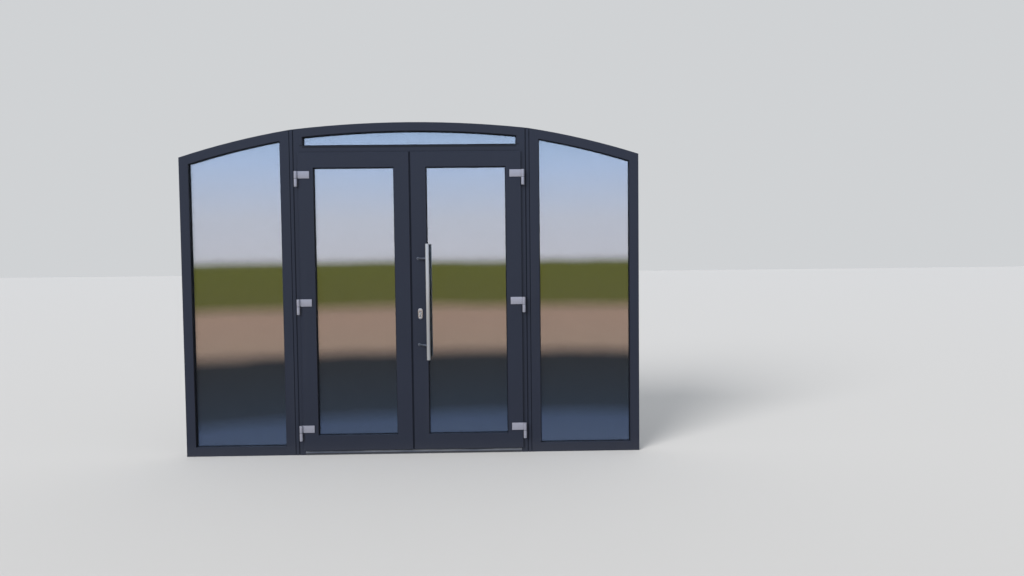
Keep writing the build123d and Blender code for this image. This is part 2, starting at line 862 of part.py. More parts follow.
def meeting_profile():
    """Closing profile of the passive leaf, with channels for the shoot bolts and the strike plate."""
    profile = flip(edge_profile((groove_bottom, groove_top))) - strike_pocket()
    profile -= shoot_hole(shoot_clearance, upper_shoot[0] - knob_clearance, groove_top + overrun)
    profile -= shoot_hole(shoot_clearance, groove_bottom - overrun, lower_shoot[1] + knob_clearance)
    profile -= knob((upper_knob[0], upper_knob[1] + shoot_throw), knob_clearance)
    return profile - knob((lower_knob[0] - shoot_throw, lower_knob[1]), knob_clearance)


door_outline = Outline(-door_half, door_half, -beyond * 2, arc=door_arc, radius=door_arch_radius)
side_outline = Outline(joint_outer, unit_half, 0, arc=side_arc, radius=side_arch_radius)
fan_outline = Outline(
    -opening_half, opening_half, transom_top, arc=door_arc, radius=door_arch_radius - frame_body
)
leaf_outline = Outline(meeting_edge, sash_outer, sash_bottom, sash_top)

unit_thickness = 2 * pane_thickness + pane_cavity
side_glass_front = frame_front + outer_lip_depth + gasket_thickness
fan_glass_front = door_lip_front - unit_thickness
leaf_glass_front = sash_front + outer_lip_depth + gasket_thickness

parts = {}

right_frame = sidelight_frame(side_outline)
parts["right_sidelight_frame"] = right_frame
parts["left_sidelight_frame"] = flip(right_frame)
main_frame = door_frame_profile(door_outline)
parts["door_frame"] = main_frame
parts["transom"] = transom_bar(main_frame)
parts["door_frame_reinforcement"] = door_frame_reinforcement()
parts["right_coupling_profile"] = coupling_profile()
parts["left_coupling_profile"] = flip(parts["right_coupling_profile"])
parts["threshold"] = threshold(main_frame)
parts["threshold_base"] = threshold_base(main_frame)
parts["door_frame_seal"] = frame_seal()
parts["shoot_bolt_keepers"] = shoot_keepers()

side_levels = (side_glass_front + unit_thickness, frame_back)
side_rebate = side_outline.drawn_in(frame_body)
for end, part in glazing(side_rebate, side_glass_front, lip_width, side_levels, False).items():
    parts["right_sidelight_" + end] = part
    parts["left_sidelight_" + end] = flip(part)
fan_levels = (frame_front, fan_glass_front - gasket_thickness)
for end, part in glazing(fan_outline, fan_glass_front, fan_bead_width, fan_levels, True).items():
    parts["fanlight_" + end] = part
leaf_levels = (leaf_glass_front + unit_thickness, sash_back)
leaf_rebate = leaf_outline.drawn_in(sash_body_end)
for end, part in glazing(leaf_rebate, leaf_glass_front, lip_width, leaf_levels, False).items():
    parts["active_leaf_" + end] = part
    parts["passive_leaf_" + end] = flip(part)

plain_sash = sash(leaf_outline)
plain_steel = sash_reinforcement(leaf_outline)
parts["passive_sash"] = flip(plain_sash)
parts["active_sash"] = plain_sash - faceplate_pocket() - lock_passages()
parts["passive_sash_reinforcement"] = flip(plain_steel)
parts["active_sash_reinforcement"] = plain_steel - lock_passages()
parts["active_edge_profile"] = edge_profile((groove_bottom, groove_top)) - faceplate_pocket()
parts["active_bottom_profile"] = bottom_profile()
parts["passive_meeting_profile"] = meeting_profile()
shoot_passage = shoot_hole(shoot_clearance, threshold_top, groove_bottom + overrun)
parts["passive_bottom_profile"] = flip(parts["active_bottom_profile"]) - shoot_passage

parts["active_hinge_leaves"] = hinge_leaves()
parts["passive_hinge_leaves"] = flip(parts["active_hinge_leaves"])
parts["active_hinge_bushes"] = hinge_bushes()
parts["passive_hinge_bushes"] = flip(parts["active_hinge_bushes"])
parts["right_hinge_knuckles"] = hinge_knuckles()
parts["left_hinge_knuckles"] = flip(parts["right_hinge_knuckles"])
parts["hinge_pins"] = hinge_pins() + flip(hinge_pins())

parts["pull_bar"] = pull_bar()
parts["pull_bar_brackets"] = pull_bar_brackets()
parts["outer_escutcheon"] = outer_escutcheon()
parts["lock_cylinder"] = lock_cylinder()
parts["cylinder_plug"] = cylinder_plug()
parts["lock_case"] = lock_case()
parts["lock_faceplate"] = lock_faceplate()
parts["dead_bolt"] = dead_bolt()
parts["latch_bolt"] = latch_bolt()
parts["inner_lever"] = inner_lever()
parts["inner_backplate"] = inner_backplate()
parts["strike_plate"] = strike_plate()
parts["upper_shoot_bolt"] = upper_shoot_bolt()
parts["lower_shoot_bolt"] = lower_shoot_bolt()

os.makedirs("parts", exist_ok=True)
for name, part in parts.items():
    export_step(part, f"parts/{name}.step")
print(len(parts), "nodes")
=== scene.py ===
"""Finishes, small fittings and a plain stage for an arched glass entrance, in metres."""

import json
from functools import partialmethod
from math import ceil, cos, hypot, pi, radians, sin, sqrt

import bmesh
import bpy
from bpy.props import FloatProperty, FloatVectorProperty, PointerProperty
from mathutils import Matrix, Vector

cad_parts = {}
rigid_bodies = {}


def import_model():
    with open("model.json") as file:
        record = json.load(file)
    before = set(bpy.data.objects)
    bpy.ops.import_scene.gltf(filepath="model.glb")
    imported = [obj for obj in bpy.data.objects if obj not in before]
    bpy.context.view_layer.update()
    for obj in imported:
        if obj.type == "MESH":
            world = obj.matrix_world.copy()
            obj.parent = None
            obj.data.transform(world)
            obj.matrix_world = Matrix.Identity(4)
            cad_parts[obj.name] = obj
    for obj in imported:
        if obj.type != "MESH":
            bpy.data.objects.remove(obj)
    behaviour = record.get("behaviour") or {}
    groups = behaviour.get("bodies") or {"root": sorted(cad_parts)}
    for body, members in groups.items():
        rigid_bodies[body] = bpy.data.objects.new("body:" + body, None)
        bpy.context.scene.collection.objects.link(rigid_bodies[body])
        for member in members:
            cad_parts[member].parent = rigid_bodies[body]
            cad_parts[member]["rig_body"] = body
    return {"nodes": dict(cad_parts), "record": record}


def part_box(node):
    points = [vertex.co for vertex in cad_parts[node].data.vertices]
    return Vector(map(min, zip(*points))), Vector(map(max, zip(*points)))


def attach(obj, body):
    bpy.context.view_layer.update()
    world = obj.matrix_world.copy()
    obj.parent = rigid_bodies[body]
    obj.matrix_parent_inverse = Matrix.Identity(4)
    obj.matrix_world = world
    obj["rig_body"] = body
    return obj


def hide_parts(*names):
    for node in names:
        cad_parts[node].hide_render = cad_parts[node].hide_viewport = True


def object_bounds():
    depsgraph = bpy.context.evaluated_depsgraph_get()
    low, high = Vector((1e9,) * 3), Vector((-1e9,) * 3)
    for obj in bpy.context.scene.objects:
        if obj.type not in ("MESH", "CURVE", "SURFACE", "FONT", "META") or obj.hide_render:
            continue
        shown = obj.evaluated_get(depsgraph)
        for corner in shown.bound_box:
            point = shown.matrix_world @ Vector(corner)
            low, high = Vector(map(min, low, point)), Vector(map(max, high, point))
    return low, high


bl_info = {
    "name": "Arched glass entrance",
    "version": (1, 0, 0),
    "blender": (4, 5, 0),
    "location": "3D View > Sidebar > Entrance",
    "description": "Dresses the packed entrance in foil, glass and metal and adds its small fittings",
    "category": "Object",
}

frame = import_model()
cad_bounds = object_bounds()

MM = 0.001
HINGES_PER_LEAF = 3

# What gloss mirrors, from 30 degrees down (0) over level (0.5) to 30 degrees up (1): a place and a colour.
GLOSS_BANDS = (
    (0.00, (0.30, 0.34, 0.42)),
    (0.22, (0.12, 0.15, 0.23)),
    (0.285, (0.078, 0.105, 0.175)),
    (0.305, (0.036, 0.044, 0.060)),
    (0.365, (0.034, 0.034, 0.038)),
    (0.385, (0.44, 0.30, 0.22)),
    (0.425, (0.46, 0.30, 0.22)),
    (0.445, (0.150, 0.142, 0.036)),
    (0.488, (0.150, 0.148, 0.031)),
    (0.502, (0.75, 0.72, 0.76)),
    (0.55, (0.73, 0.73, 0.80)),
    (0.62, (0.60, 0.71, 0.93)),
    (0.66, (0.50, 0.64, 0.87)),
    (1.00, (0.48, 0.61, 0.85)),
)


def number(name, text, value, **more):
    """One number, or three, that a user may change."""
    kind = FloatProperty if isinstance(value, (int, float)) else FloatVectorProperty
    return kind(name=name, description=text, default=value, **more)


def colour(name, text, value):
    """A colour that a user may change."""
    return number(name, text, value, subtype="COLOR", min=0, max=1)


def length(name, text, value):
    """A length that a user may change."""
    return number(name, text, value, unit="LENGTH", min=0, precision=4)


def share(name, text, value):
    """A share, from none to all, that a user may change."""
    return number(name, text, value, subtype="FACTOR", min=0, max=1)


def location(name, text, value):
    """A place that a user may change."""
    return number(name, text, value, subtype="TRANSLATION", unit="LENGTH")


class EntranceSizes(bpy.types.PropertyGroup):
    """Sizes of the arches, the profiles and the small fittings."""

    door_arch: length("Door arch", "Radius of the arch over the leaves", 7.4)
    side_arch: length("Side arch", "Radius of the arch over each sidelight", 5.3)
    springing: length("Springing", "Height of the outer end of the arch", 2.085)
    profile: length("Profile", "Depth from a frame's edge to its glazing rebate", 42 * MM)
    sash_profile: length("Sash profile", "Depth from a leaf's edge to its glazing rebate", 84 * MM)
    sash_step: length("Sash step", "How far a leaf's back stands inside its front edge", 16 * MM)
    lip: length("Glazing lip", "Width of the lip and of the bead round each pane", 24 * MM)
    fan_lip: length("Fanlight lip", "Width of the bead round the fanlight's pane", 20 * MM)
    clearance: length("Seal clearance", "How far a tubular seal stays off what it faces", 0.3 * MM)
    edge_seal: length("Edge seal", "Radius of the tubular seal behind a leaf's edge", 1.3 * MM)
    edge_seal_inset: length("Edge seal inset", "From a leaf's edge to its tubular seal", 6 * MM)
    bead_seal: length("Bead seal", "Radius of the seal between a bead and its glass", 1.5 * MM)
    joint_smear: length("Joint smear", "How far the sealant is drawn over the edges of a joint", 1.2 * MM)
    door_joint: length("Door joint", "Width of the joint between the door frame and a coupling", 6 * MM)
    side_joint: length("Side joint", "Width of the joint between a sidelight and a coupling", 4 * MM)
    weld: length("Weld", "Radius of the trimmed weld at a corner", 0.8 * MM)
    stay: length("Stay", "Radius of the stays that carry the bar", 7 * MM)
    flange: length("Flange", "Radius of a stay's flange on the leaf", 10 * MM)
    barrel: length("Hinge barrel", "Radius of a hinge's barrel", 11 * MM)
    hinge_end: length("Hinge end", "From a leaf's end to the middle of its nearest hinge", 154 * MM)
    screw: length("Screw head", "Diameter of a screw head on the lever's plate", 7.5 * MM)
    plate_screw: length("Plate screw", "Diameter of a screw head on the lock's plates", 6 * MM)
    keeper_screw: length("Keeper screw", "Diameter of a screw head on a keeper", 5 * MM)
    grub_screw: length("Grub screw", "Diameter of the grub screws of the bar and the lever", 5 * MM)
    adjuster: length("Hinge adjuster", "Diameter of the adjusting screw under a hinge", 9 * MM)
    rib_pitch: length("Rib pitch", "Distance between the ribs of the sill", 5 * MM)
    rib: length("Rib", "Radius of a rib of the sill", 0.7 * MM)


class EntranceFinishes(bpy.types.PropertyGroup):
    """Colours and gloss of the finishes."""

    foil: colour("Foil", "Anthracite foil on the profiles", (0.0127, 0.0153, 0.0252))
    foil_gloss: share("Foil roughness", "Roughness of the foil", 0.46)
    dust: colour("Dust", "Dust near the ground and on ledges", (0.20, 0.19, 0.17))
    coating: colour("Glass coating", "Mirror-like coat of the outer panes", (0.80, 0.86, 0.93))
    coating_cover: share("Coating cover", "How much one coated surface hides", 0.19)
    tint: colour("Glass tint", "Body tint of the inner panes", (0.010, 0.014, 0.016))
    tint_cover: share("Tint cover", "How much one tinted surface hides", 0.93)
    rubber: colour("Rubber", "Gaskets and seals", (0.0045, 0.0055, 0.0090))
    silver: colour("Silver", "Satin silver of the hinges", (0.272, 0.27, 0.31))
    steel: colour("Steel", "Brushed stainless steel", (0.56, 0.55, 0.53))
    bar_steel: colour("Bar steel", "Satin steel of the pull bar", (0.370, 0.363, 0.350))
    # The stays' steel is darker than the bar's: painted shade for the dark surroundings that the stays
    # mirror.
    stay_steel: colour("Stay steel", "Dull steel of the stays that carry the bar", (0.155, 0.160, 0.175))
    cover: colour("Cylinder cover", "Satin steel of the oval cover outside", (0.52, 0.465, 0.41))
    bright: colour("Bright steel", "Pins and bolts", (0.52, 0.53, 0.55))
    nickel: colour("Nickel", "Lock cylinder", (0.58, 0.54, 0.46))
    aluminium: colour("Aluminium", "Spacers between the panes", (0.55, 0.56, 0.57))
    zinc: colour("Zinc", "Galvanised steel inside the profiles", (0.48, 0.50, 0.52))
    bush: colour("Bush plastic", "Plastic bushes of the hinges", (0.03, 0.03, 0.03))
    sill: colour("Sill", "Dark anodised aluminium of the sill", (0.085, 0.095, 0.12))
    sill_wear: colour("Sill wear", "Bare aluminium where the sill is worn", (0.34, 0.34, 0.34))
    base: colour("Base", "Dark plastic below the sill", (0.030, 0.031, 0.034))


class EntranceStage(bpy.types.PropertyGroup):
    """Camera, light and floor."""

    focal: number("Focal length", "Focal length of the camera's lens, in millimetres", 26.1, min=1)
    sensor: number("Sensor", "Width of the camera's sensor, in millimetres", 36.0, min=1)
    place: location("Camera place", "Where the camera stands", (0.611, -5.222, 1.379))
    turn: number(
        "Camera turn", "Pitch, roll and yaw of the camera",
        (radians(-2.433), radians(0.625), radians(-0.983)), subtype="EULER", unit="ROTATION",
    )
    floor: colour("Floor", "Plain pale floor", (0.62, 0.60, 0.58))
    floor_reach: length("Floor reach", "From the middle of the floor to its edge", 60.0)
    surround: colour("Surround", "Plain pale surround behind the object", (0.63, 0.645, 0.66))
    daylight: colour("Daylight", "Soft light from all round", (0.90, 0.95, 1.0))
    daylight_strength: number("Daylight strength", "Strength of the soft light", 0.70)
    gloss_strength: number("Gloss strength", "Strength of what gloss mirrors", 2.08)
    key_place: location("Key light place", "Where the key light shines from", (-6.0, -8.0, 6.5))
    key_strength: number("Key light strength", "Strength of the key light", 3.1)
    key_spread: number(
        "Key light spread", "How wide the key light is, which softens its shadows", radians(30),
        subtype="ANGLE", unit="ROTATION",
    )


class Tree:
    """A node tree under construction."""

    def __init__(self, tree):
        self.tree = tree

    def add(self, kind, settings=None, values=None):
        """A node of a kind, with its settings and then the values or links of its sockets."""
        node = self.tree.nodes.new(kind)
        for key, value in (settings or {}).items():
            if key == "stops":
                set_stops(node.color_ramp, value)
            else:
                setattr(node, key, value)
        for key, value in (values or {}).items():
            self.feed(node.inputs[key], value)
        return node

    def feed(self, socket, value):
        """Links a socket to another, or sets its value."""
        source = value.socket if isinstance(value, Wire) else value
        if isinstance(source, bpy.types.NodeSocket):
            self.tree.links.new(source, socket)
        elif socket.type == "RGBA" and len(source) == 3:
            socket.default_value = (*source, 1)
        else:
            socket.default_value = source


def set_stops(ramp, stops):
    """Puts colour stops, each a place and a colour, on a ramp."""
    while len(ramp.elements) < len(stops):
        ramp.elements.new(1)
    for element, (spot, shade) in zip(ramp.elements, stops):
        element.position = spot
        element.color = (*shade, 1)


class Wire:
    """A number that varies over a surface. Python's operators on it add Math nodes."""

    def __init__(self, tree, socket):
        self.tree = tree
        self.socket = socket

    def math(self, operation, *others):
        """This number through one Math node with the others."""
        values = dict(enumerate((self, *others)))
        return Wire(self.tree, self.tree.add("ShaderNodeMath", {"operation": operation}, values).outputs[0])

    __add__ = __radd__ = partialmethod(math, "ADD")
    __mul__ = __rmul__ = partialmethod(math, "MULTIPLY")
    __sub__ = partialmethod(math, "SUBTRACT")
    __rsub__ = partialmethod(math, "MULTIPLY_ADD", -1.0)
    __lt__ = partialmethod(math, "LESS_THAN")
    __gt__ = partialmethod(math, "GREATER_THAN")
    __abs__ = partialmethod(math, "ABSOLUTE")
    smaller = partialmethod(math, "MINIMUM")
    root = partialmethod(math, "SQRT")

    def ramp(self, low, high):
        """This number drawn smoothly from 0 at low to 1 at high."""
        settings = {"interpolation_type": "SMOOTHSTEP"}
        values = {"Value": self, "From Min": low, "From Max": high}
        return Wire(self.tree, self.tree.add("ShaderNodeMapRange", settings, values).outputs[0])


class Finish(Tree):
    """A material under construction, around one Principled BSDF."""

    def __init__(self, name):
        self.material = bpy.data.materials.new(name)
        self.material.use_nodes = True
        super().__init__(self.material.node_tree)
        self.tree.nodes.clear()
        self.surface = self.add("ShaderNodeBsdfPrincipled")
        self.add("ShaderNodeOutputMaterial", values={"Surface": self.surface.outputs[0]})
        spot = self.add("ShaderNodeTexCoord").outputs["Object"]
        axes = self.add("ShaderNodeSeparateXYZ", values={0: spot}).outputs
        self.x, self.y, self.z = (Wire(self, socket) for socket in axes)

    def scaled_spot(self, scales, axes=None):
        """The surface's place, or other coordinates, with a scale along each axis."""
        spots = [axis * scale for axis, scale in zip(axes or (self.x, self.y, self.z), scales)]
        return self.add("ShaderNodeCombineXYZ", values=dict(enumerate(spots))).outputs[0]

    def noise(self, scales, detail=2.0, roughness=0.5, axes=None):
        """Noise over scaled coordinates, from 0 to 1."""
        at = self.scaled_spot(scales, axes)
        values = {"Vector": at, "Scale": 1.0, "Detail": detail, "Roughness": roughness}
        return Wire(self, self.add("ShaderNodeTexNoise", values=values).outputs[0])

    def blend(self, factor, first, second):
        """Mix of two colours by a number."""
        return self.add("ShaderNodeMix", {"data_type": "RGBA"}, {0: factor, 6: first, 7: second}).outputs[2]

    def toned(self, shade, tone):
        """A colour made lighter or darker by a number."""
        values = {0: shade, "Scale": tone}
        return self.add("ShaderNodeVectorMath", {"operation": "SCALE"}, values).outputs[0]

    def bump(self, height, distance, strength=1.0):
        """Normal from a height, given the depth of the relief in metres."""
        values = {"Height": height, "Distance": distance, "Strength": strength}
        return self.add("ShaderNodeBump", values=values).outputs[0]

    def finish(self, **sockets):
        """Feeds the surface's sockets, named with underscores for spaces, and returns the material."""
        for key, value in sockets.items():
            self.feed(self.surface.inputs[key.replace("_", " ")], value)
        return self.material


def scaled(shade, factor):
    """A colour made lighter or darker, as a plain value."""
    return tuple(min(1.0, part * factor) for part in shade)


class Opening:
    """Four-sided outline in the X-Z plane, with a level or an arched head."""

    def __init__(self, low, high, centre=None, radius=None, bottom_rail=True):
        self.left, self.right = low.x, high.x
        self.bottom, self.top = low.z, high.z
        self.centre = centre
        self.radius = radius
        self.bottom_rail = bottom_rail

    def head(self, x, inset=0.0):
        """Height of the head at x, with the outline drawn in by an inset."""
        if self.centre is None:
            return self.top - inset
        return self.centre[1] + sqrt((self.radius - inset) ** 2 - (x - self.centre[0]) ** 2)

    def path(self, inset, step=0.08):
        """Points round the outline at an inset, counter-clockwise seen from outside."""
        left, right, bottom = self.left + inset, self.right - inset, self.bottom + inset
        count = 1 if self.centre is None else ceil((right - left) / step)
        across = [right + (left - right) * i / count for i in range(count + 1)]
        return [(left, bottom), (right, bottom)] + [(x, self.head(x, inset)) for x in across]

    def corners(self, inset):
        """The four corners at an inset, from the lower left, counter-clockwise."""
        points = self.path(inset)
        return points[:3] + points[-1:]


def arc_centre(start, end, radius):
    """Centre, below the arc, of the circle through two points in the X-Z plane."""
    run, rise = end[0] - start[0], end[1] - start[1]
    chord = hypot(run, rise)
    lift = sqrt(radius**2 - (chord / 2) ** 2)
    return (start[0] + end[0]) / 2 + lift * rise / chord, (start[1] + end[1]) / 2 - lift * run / chord


def span(node):
    """Lowest and highest corner of a CAD piece."""
    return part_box(node)


def middle(low, high):
    """Halfway between two numbers or places."""
    return (low + high) / 2


def ends(low, high, inset):
    """Heights at an inset from the lower and the upper end of a piece."""
    return low.z + inset, high.z - inset


def frame_outlines(sizes):
    """Outlines of the three fixed frames and of the two leaves, by the piece's name."""
    low, high = span("door_frame")
    centre = (0.0, high.z - sizes.door_arch)
    found = {"door_frame": Opening(low, high, centre, sizes.door_arch, bottom_rail=False)}
    coupling_low, coupling_high = span("right_coupling_profile")
    joint = middle(coupling_low.x, coupling_high.x)
    joint_head = centre[1] + sqrt(sizes.door_arch**2 - joint**2)
    for side, name in ((-1, "left_sidelight_frame"), (1, "right_sidelight_frame")):
        low, high = span(name)
        outer = max(abs(low.x), abs(high.x))
        x, z = arc_centre((joint, joint_head), (outer, sizes.springing), sizes.side_arch)
        found[name] = Opening(low, high, (side * x, z), sizes.side_arch)
    for name in ("passive_sash", "active_sash"):
        found[name] = Opening(*span(name))
    return found


def glazing_outlines(sizes):
    """Outline of each glazing rebate, by the start of its pieces' names."""
    frames = frame_outlines(sizes)
    found = {}
    for name, around in (
        ("left_sidelight", "left_sidelight_frame"),
        ("right_sidelight", "right_sidelight_frame"),
        ("fanlight", "door_frame"),
    ):
        whole = frames[around]
        found[name] = Opening(*span(name + "_bead"), whole.centre, whole.radius - sizes.profile)
    for name in ("passive_leaf", "active_leaf"):
        found[name] = Opening(*span(name + "_bead"))
    return found


def bead_width(sizes, name):
    """Width of the bead round a glazed opening."""
    return sizes.fan_lip if name == "fanlight" else sizes.lip


def body_of(node):
    """Name of the body that a CAD piece belongs to."""
    return frame["nodes"][node]["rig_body"]


def slot_of(node):
    """Material slot that the record gives to a CAD piece."""
    for row in frame["record"]["subparts"]:
        if row["node"] == node:
            return row["material_slot"]
    raise ValueError("the record has no piece named " + node)


def coat(piece, material):
    """Gives a piece one material."""
    piece.data.materials.clear()
    piece.data.materials.append(material)


def dress(nodes, material):
    """Gives CAD pieces one material."""
    for node in nodes:
        coat(frame["nodes"][node], material)


def place(name, mesh, material, body, slot):
    """A new piece that rides on a body. Its mesh keeps its own material where none is given."""
    piece = bpy.data.objects.new(name, mesh)
    bpy.context.scene.collection.objects.link(piece)
    if material:
        coat(piece, material)
    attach(piece, body)
    return piece


def as_mesh(form, name):
    """Turns a finished bmesh into a mesh."""
    mesh = bpy.data.meshes.new(name)
    form.to_mesh(mesh)
    form.free()
    return mesh


def soften(node, name, width, material, segments=2):
    """A copy of a CAD piece with rounded edges, which stands for it."""
    merge, flat, sharp, smooth = 0.002 * MM, radians(0.6), radians(30), radians(40)
    form = bmesh.new()
    form.from_mesh(frame["nodes"][node].data)
    bmesh.ops.remove_doubles(form, verts=form.verts, dist=merge)
    bmesh.ops.dissolve_limit(form, angle_limit=flat, verts=form.verts, edges=form.edges)
    edges = [edge for edge in form.edges if edge.is_manifold and edge.calc_face_angle() > sharp]
    bmesh.ops.bevel(
        form, geom=edges, offset=width, offset_type="OFFSET", segments=segments, profile=0.5,
        affect="EDGES", clamp_overlap=True,
    )
    bmesh.ops.recalc_face_normals(form, faces=form.faces)
    mesh = as_mesh(form, name)
    mesh.polygons.foreach_set("use_smooth", [True] * len(mesh.polygons))
    mesh.set_sharp_from_angle(angle=smooth)
    piece = place(name, mesh, material, body_of(node), slot_of(node))
    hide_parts(node)


# Finishes

def rebate_shade(s, outline, side, end, lip_end, shade_ledge):
    """Painted shade past the end of the glazing lip, measured inwards from the outline.

    The rebate lies in shadow. The lower ledge, which catches light, is shaded only where that is asked for.
    """
    upper = side.smaller(end + 2 * MM).ramp(lip_end - 2.4 * MM, lip_end - 1 * MM)
    above = s.z - outline.bottom
    if not shade_ledge:
        return upper * above.ramp(lip_end - 2 * MM, lip_end + 6 * MM)
    ledge = above.ramp(lip_end - 8 * MM, lip_end - 5 * MM)
    past = above.ramp(lip_end + 2 * MM, lip_end + 3 * MM)
    return upper + (1 - upper) * ledge * (1 - past)


def foil_finish(
    name, finishes, outline=None, lip_end=None, shade_ledge=False, upright=False, shade_line=None
):
    """Embossed foil with its grain along each bar, a fine line at each mitre, a little dust and painted
    shade.

    Bars follow an outline where there is one, and otherwise lie level or stand upright. The height of
    the line is where a painted shadow line lies, just above the top edge of the leaves.
    """
    s = Finish(name)
    along, across = (s.z, s.x) if upright else (s.x, s.z)
    mitre, dark = 0.0, 0.0
    if outline:
        side = (s.x - outline.left).smaller(outline.right - s.x)
        end = outline.top - s.z
        if outline.centre:
            run, rise = s.x - outline.centre[0], s.z - outline.centre[1]
            end = outline.radius - (run * run + rise * rise).root()
        # Painted shade in the glazing rebate, where the side of the lip lies in shadow.
        dark = rebate_shade(s, outline, side, end, lip_end, shade_ledge)
        if outline.bottom_rail:
            end = end.smaller(s.z - outline.bottom)
        jamb = side < end
        mitre = 1 - abs(side - end).ramp(0.1 * MM, 0.7 * MM)
        along = jamb * s.z + (1 - jamb) * s.x
        across = jamb * side + (1 - jamb) * end
    # A painted shadow line along a height, where the transom lies in shadow above the leaves.
    if shade_line:
        dark = 0.5 * (1 - abs(s.z - shade_line).ramp(2 * MM, 7 * MM))
    grain = s.noise((60, 1100, 1100), 3.0, 0.6, (along, across, s.y))
    pores = s.noise((30, 700, 700), 2.0, 0.5, (along, across, s.y))
    cloud = s.noise((1.7, 1.7, 1.7), 3.0, 0.55)
    runs = s.noise((14, 14, 0.9), 2.0, 0.5).ramp(0.58, 0.82)
    near_ground = 1 - s.z.ramp(0.0, 0.12)
    film = near_ground * (0.3 + 0.7 * cloud) * 0.05 + runs * 0.012
    # The tone carries the painted shade as well as the cloud, the grain and the mitre lines.
    tone = (0.90 + 0.20 * cloud) * (0.87 + 0.26 * grain) * (1 - 0.45 * mitre) * (1 - 0.7 * dark)
    height = grain * 0.6 - pores.ramp(0.52, 0.72) * 0.5 - mitre * 1.2
    return s.finish(
        Base_Color=s.blend(film, s.toned(finishes.foil, tone), finishes.dust),
        Roughness=finishes.foil_gloss + 0.10 * (cloud - 0.5) + 0.10 * (pores - 0.5) + film,
        Normal=s.bump(height, 0.10 * MM, 0.8),
        Specular_IOR_Level=0.30,
    )


def glass_finish(name, finishes, low, high):
    """Sealed unit: a bright coat on the outer pane, a dark tint on the inner one, and a slight wave."""
    s = Finish(name)
    inner = s.y > middle(low.y, high.y)
    sway = s.noise((1.6, 60, 1.1), 1.0, 0.4)
    ripple = s.noise((6.0, 60, 4.0), 1.0, 0.4)
    smear = s.noise((3.0, 3.0, 9.0), 4.0, 0.6).ramp(0.55, 0.90)
    splash = 1 - s.z.ramp(low.z, low.z + 0.30)
    return s.finish(
        Base_Color=s.blend(inner, finishes.coating, finishes.tint),
        Metallic=1 - inner,
        Roughness=0.012 + 0.03 * smear + 0.04 * splash * smear,
        Alpha=inner * (finishes.tint_cover - finishes.coating_cover) + finishes.coating_cover,
        Normal=s.bump(sway + ripple * 0.08, 4 * MM, 0.25),
        IOR=1.9,
    )


def rubber_finish(name, finishes):
    """Matt black rubber with a chalky bloom."""
    s = Finish(name)
    bloom = s.noise((40, 40, 40), 3.0, 0.6)
    fine = s.noise((900, 900, 900), 2.0)
    return s.finish(
        Base_Color=s.blend(bloom.ramp(0.50, 0.85) * 0.3, finishes.rubber, scaled(finishes.rubber, 3.0)),
        Roughness=0.62 + 0.15 * (bloom - 0.5),
        Normal=s.bump(fine, 0.04 * MM, 0.5),
        Specular_IOR_Level=0.15,
    )


def metal_finish(name, shade, roughness, lines, contrast=0.08, metallic=1.0):
    """Metal with fine lines, given as a scale along X, Y and Z, and soft hand marks."""
    s = Finish(name)
    brushed = s.noise(lines, 3.0, 0.6)
    marks = s.noise((16, 16, 16), 3.0, 0.55)
    tone = (1 - contrast / 2 + contrast * brushed) * (0.96 + 0.08 * marks)
    return s.finish(
        Base_Color=s.toned(shade, tone),
        Metallic=metallic,
        Roughness=roughness + 0.10 * (brushed - 0.5) + 0.10 * marks.ramp(0.5, 0.8),
        Normal=s.bump(brushed, 0.006 * MM, 0.5),
    )


def sill_finish(name, finishes, low, high):
    """Dark aluminium, worn and scratched where feet cross it, most along its nose, whose light top edge is
    also painted highlight.
    """
    s = Finish(name)
    drawn = s.noise((5, 700, 700), 3.0, 0.6)
    tread = s.noise((5, 30, 30), 4.0, 0.6).ramp(0.35, 0.75)
    scratch = s.noise((160, 22, 160), 2.0, 0.5).ramp(0.62, 0.70)
    # Along the top of the nose the light metal is wear and also a painted highlight, where the edge catches
    # light.
    nose = (1 - s.y.ramp(low.y, low.y + 12 * MM)) * s.z.ramp(high.z - 7 * MM, high.z - 3 * MM)
    wear_and_highlight = (0.25 + 0.45 * tread) * (0.35 + 0.65 * nose) + 0.3 * scratch
    shade = s.blend(wear_and_highlight, s.toned(finishes.sill, 0.88 + 0.24 * drawn), finishes.sill_wear)
    return s.finish(
        Base_Color=s.blend(tread * 0.25, shade, finishes.dust),
        Metallic=0.75 - 0.3 * tread,
        Roughness=0.42 + 0.20 * tread - 0.08 * scratch,
        Normal=s.bump(drawn - scratch, 0.04 * MM, 0.6),
    )


def plastic_finish(name, shade):
    """Plain moulded plastic."""
    s = Finish(name)
    grain = s.noise((500, 500, 500), 2.0)
    cloud = s.noise((12, 12, 12), 3.0)
    return s.finish(
        Base_Color=s.blend(cloud, scaled(shade, 0.85), scaled(shade, 1.35)),
        Roughness=0.52 + 0.12 * (cloud - 0.5),
        Normal=s.bump(grain, 0.05 * MM, 0.5),
    )


def zinc_finish(name, finishes):
    """Galvanised sheet with its crystal pattern."""
    s = Finish(name)
    values = {"Vector": s.scaled_spot((90, 90, 90)), "Scale": 1.0}
    flake = Wire(s, s.add("ShaderNodeTexVoronoi", {"feature": "F1"}, values).outputs["Color"])
    return s.finish(
        Base_Color=s.blend(flake, scaled(finishes.zinc, 0.82), scaled(finishes.zinc, 1.12)),
        Metallic=1.0,
        Roughness=0.36 + 0.14 * flake,
    )


# Geometry that follows a rule

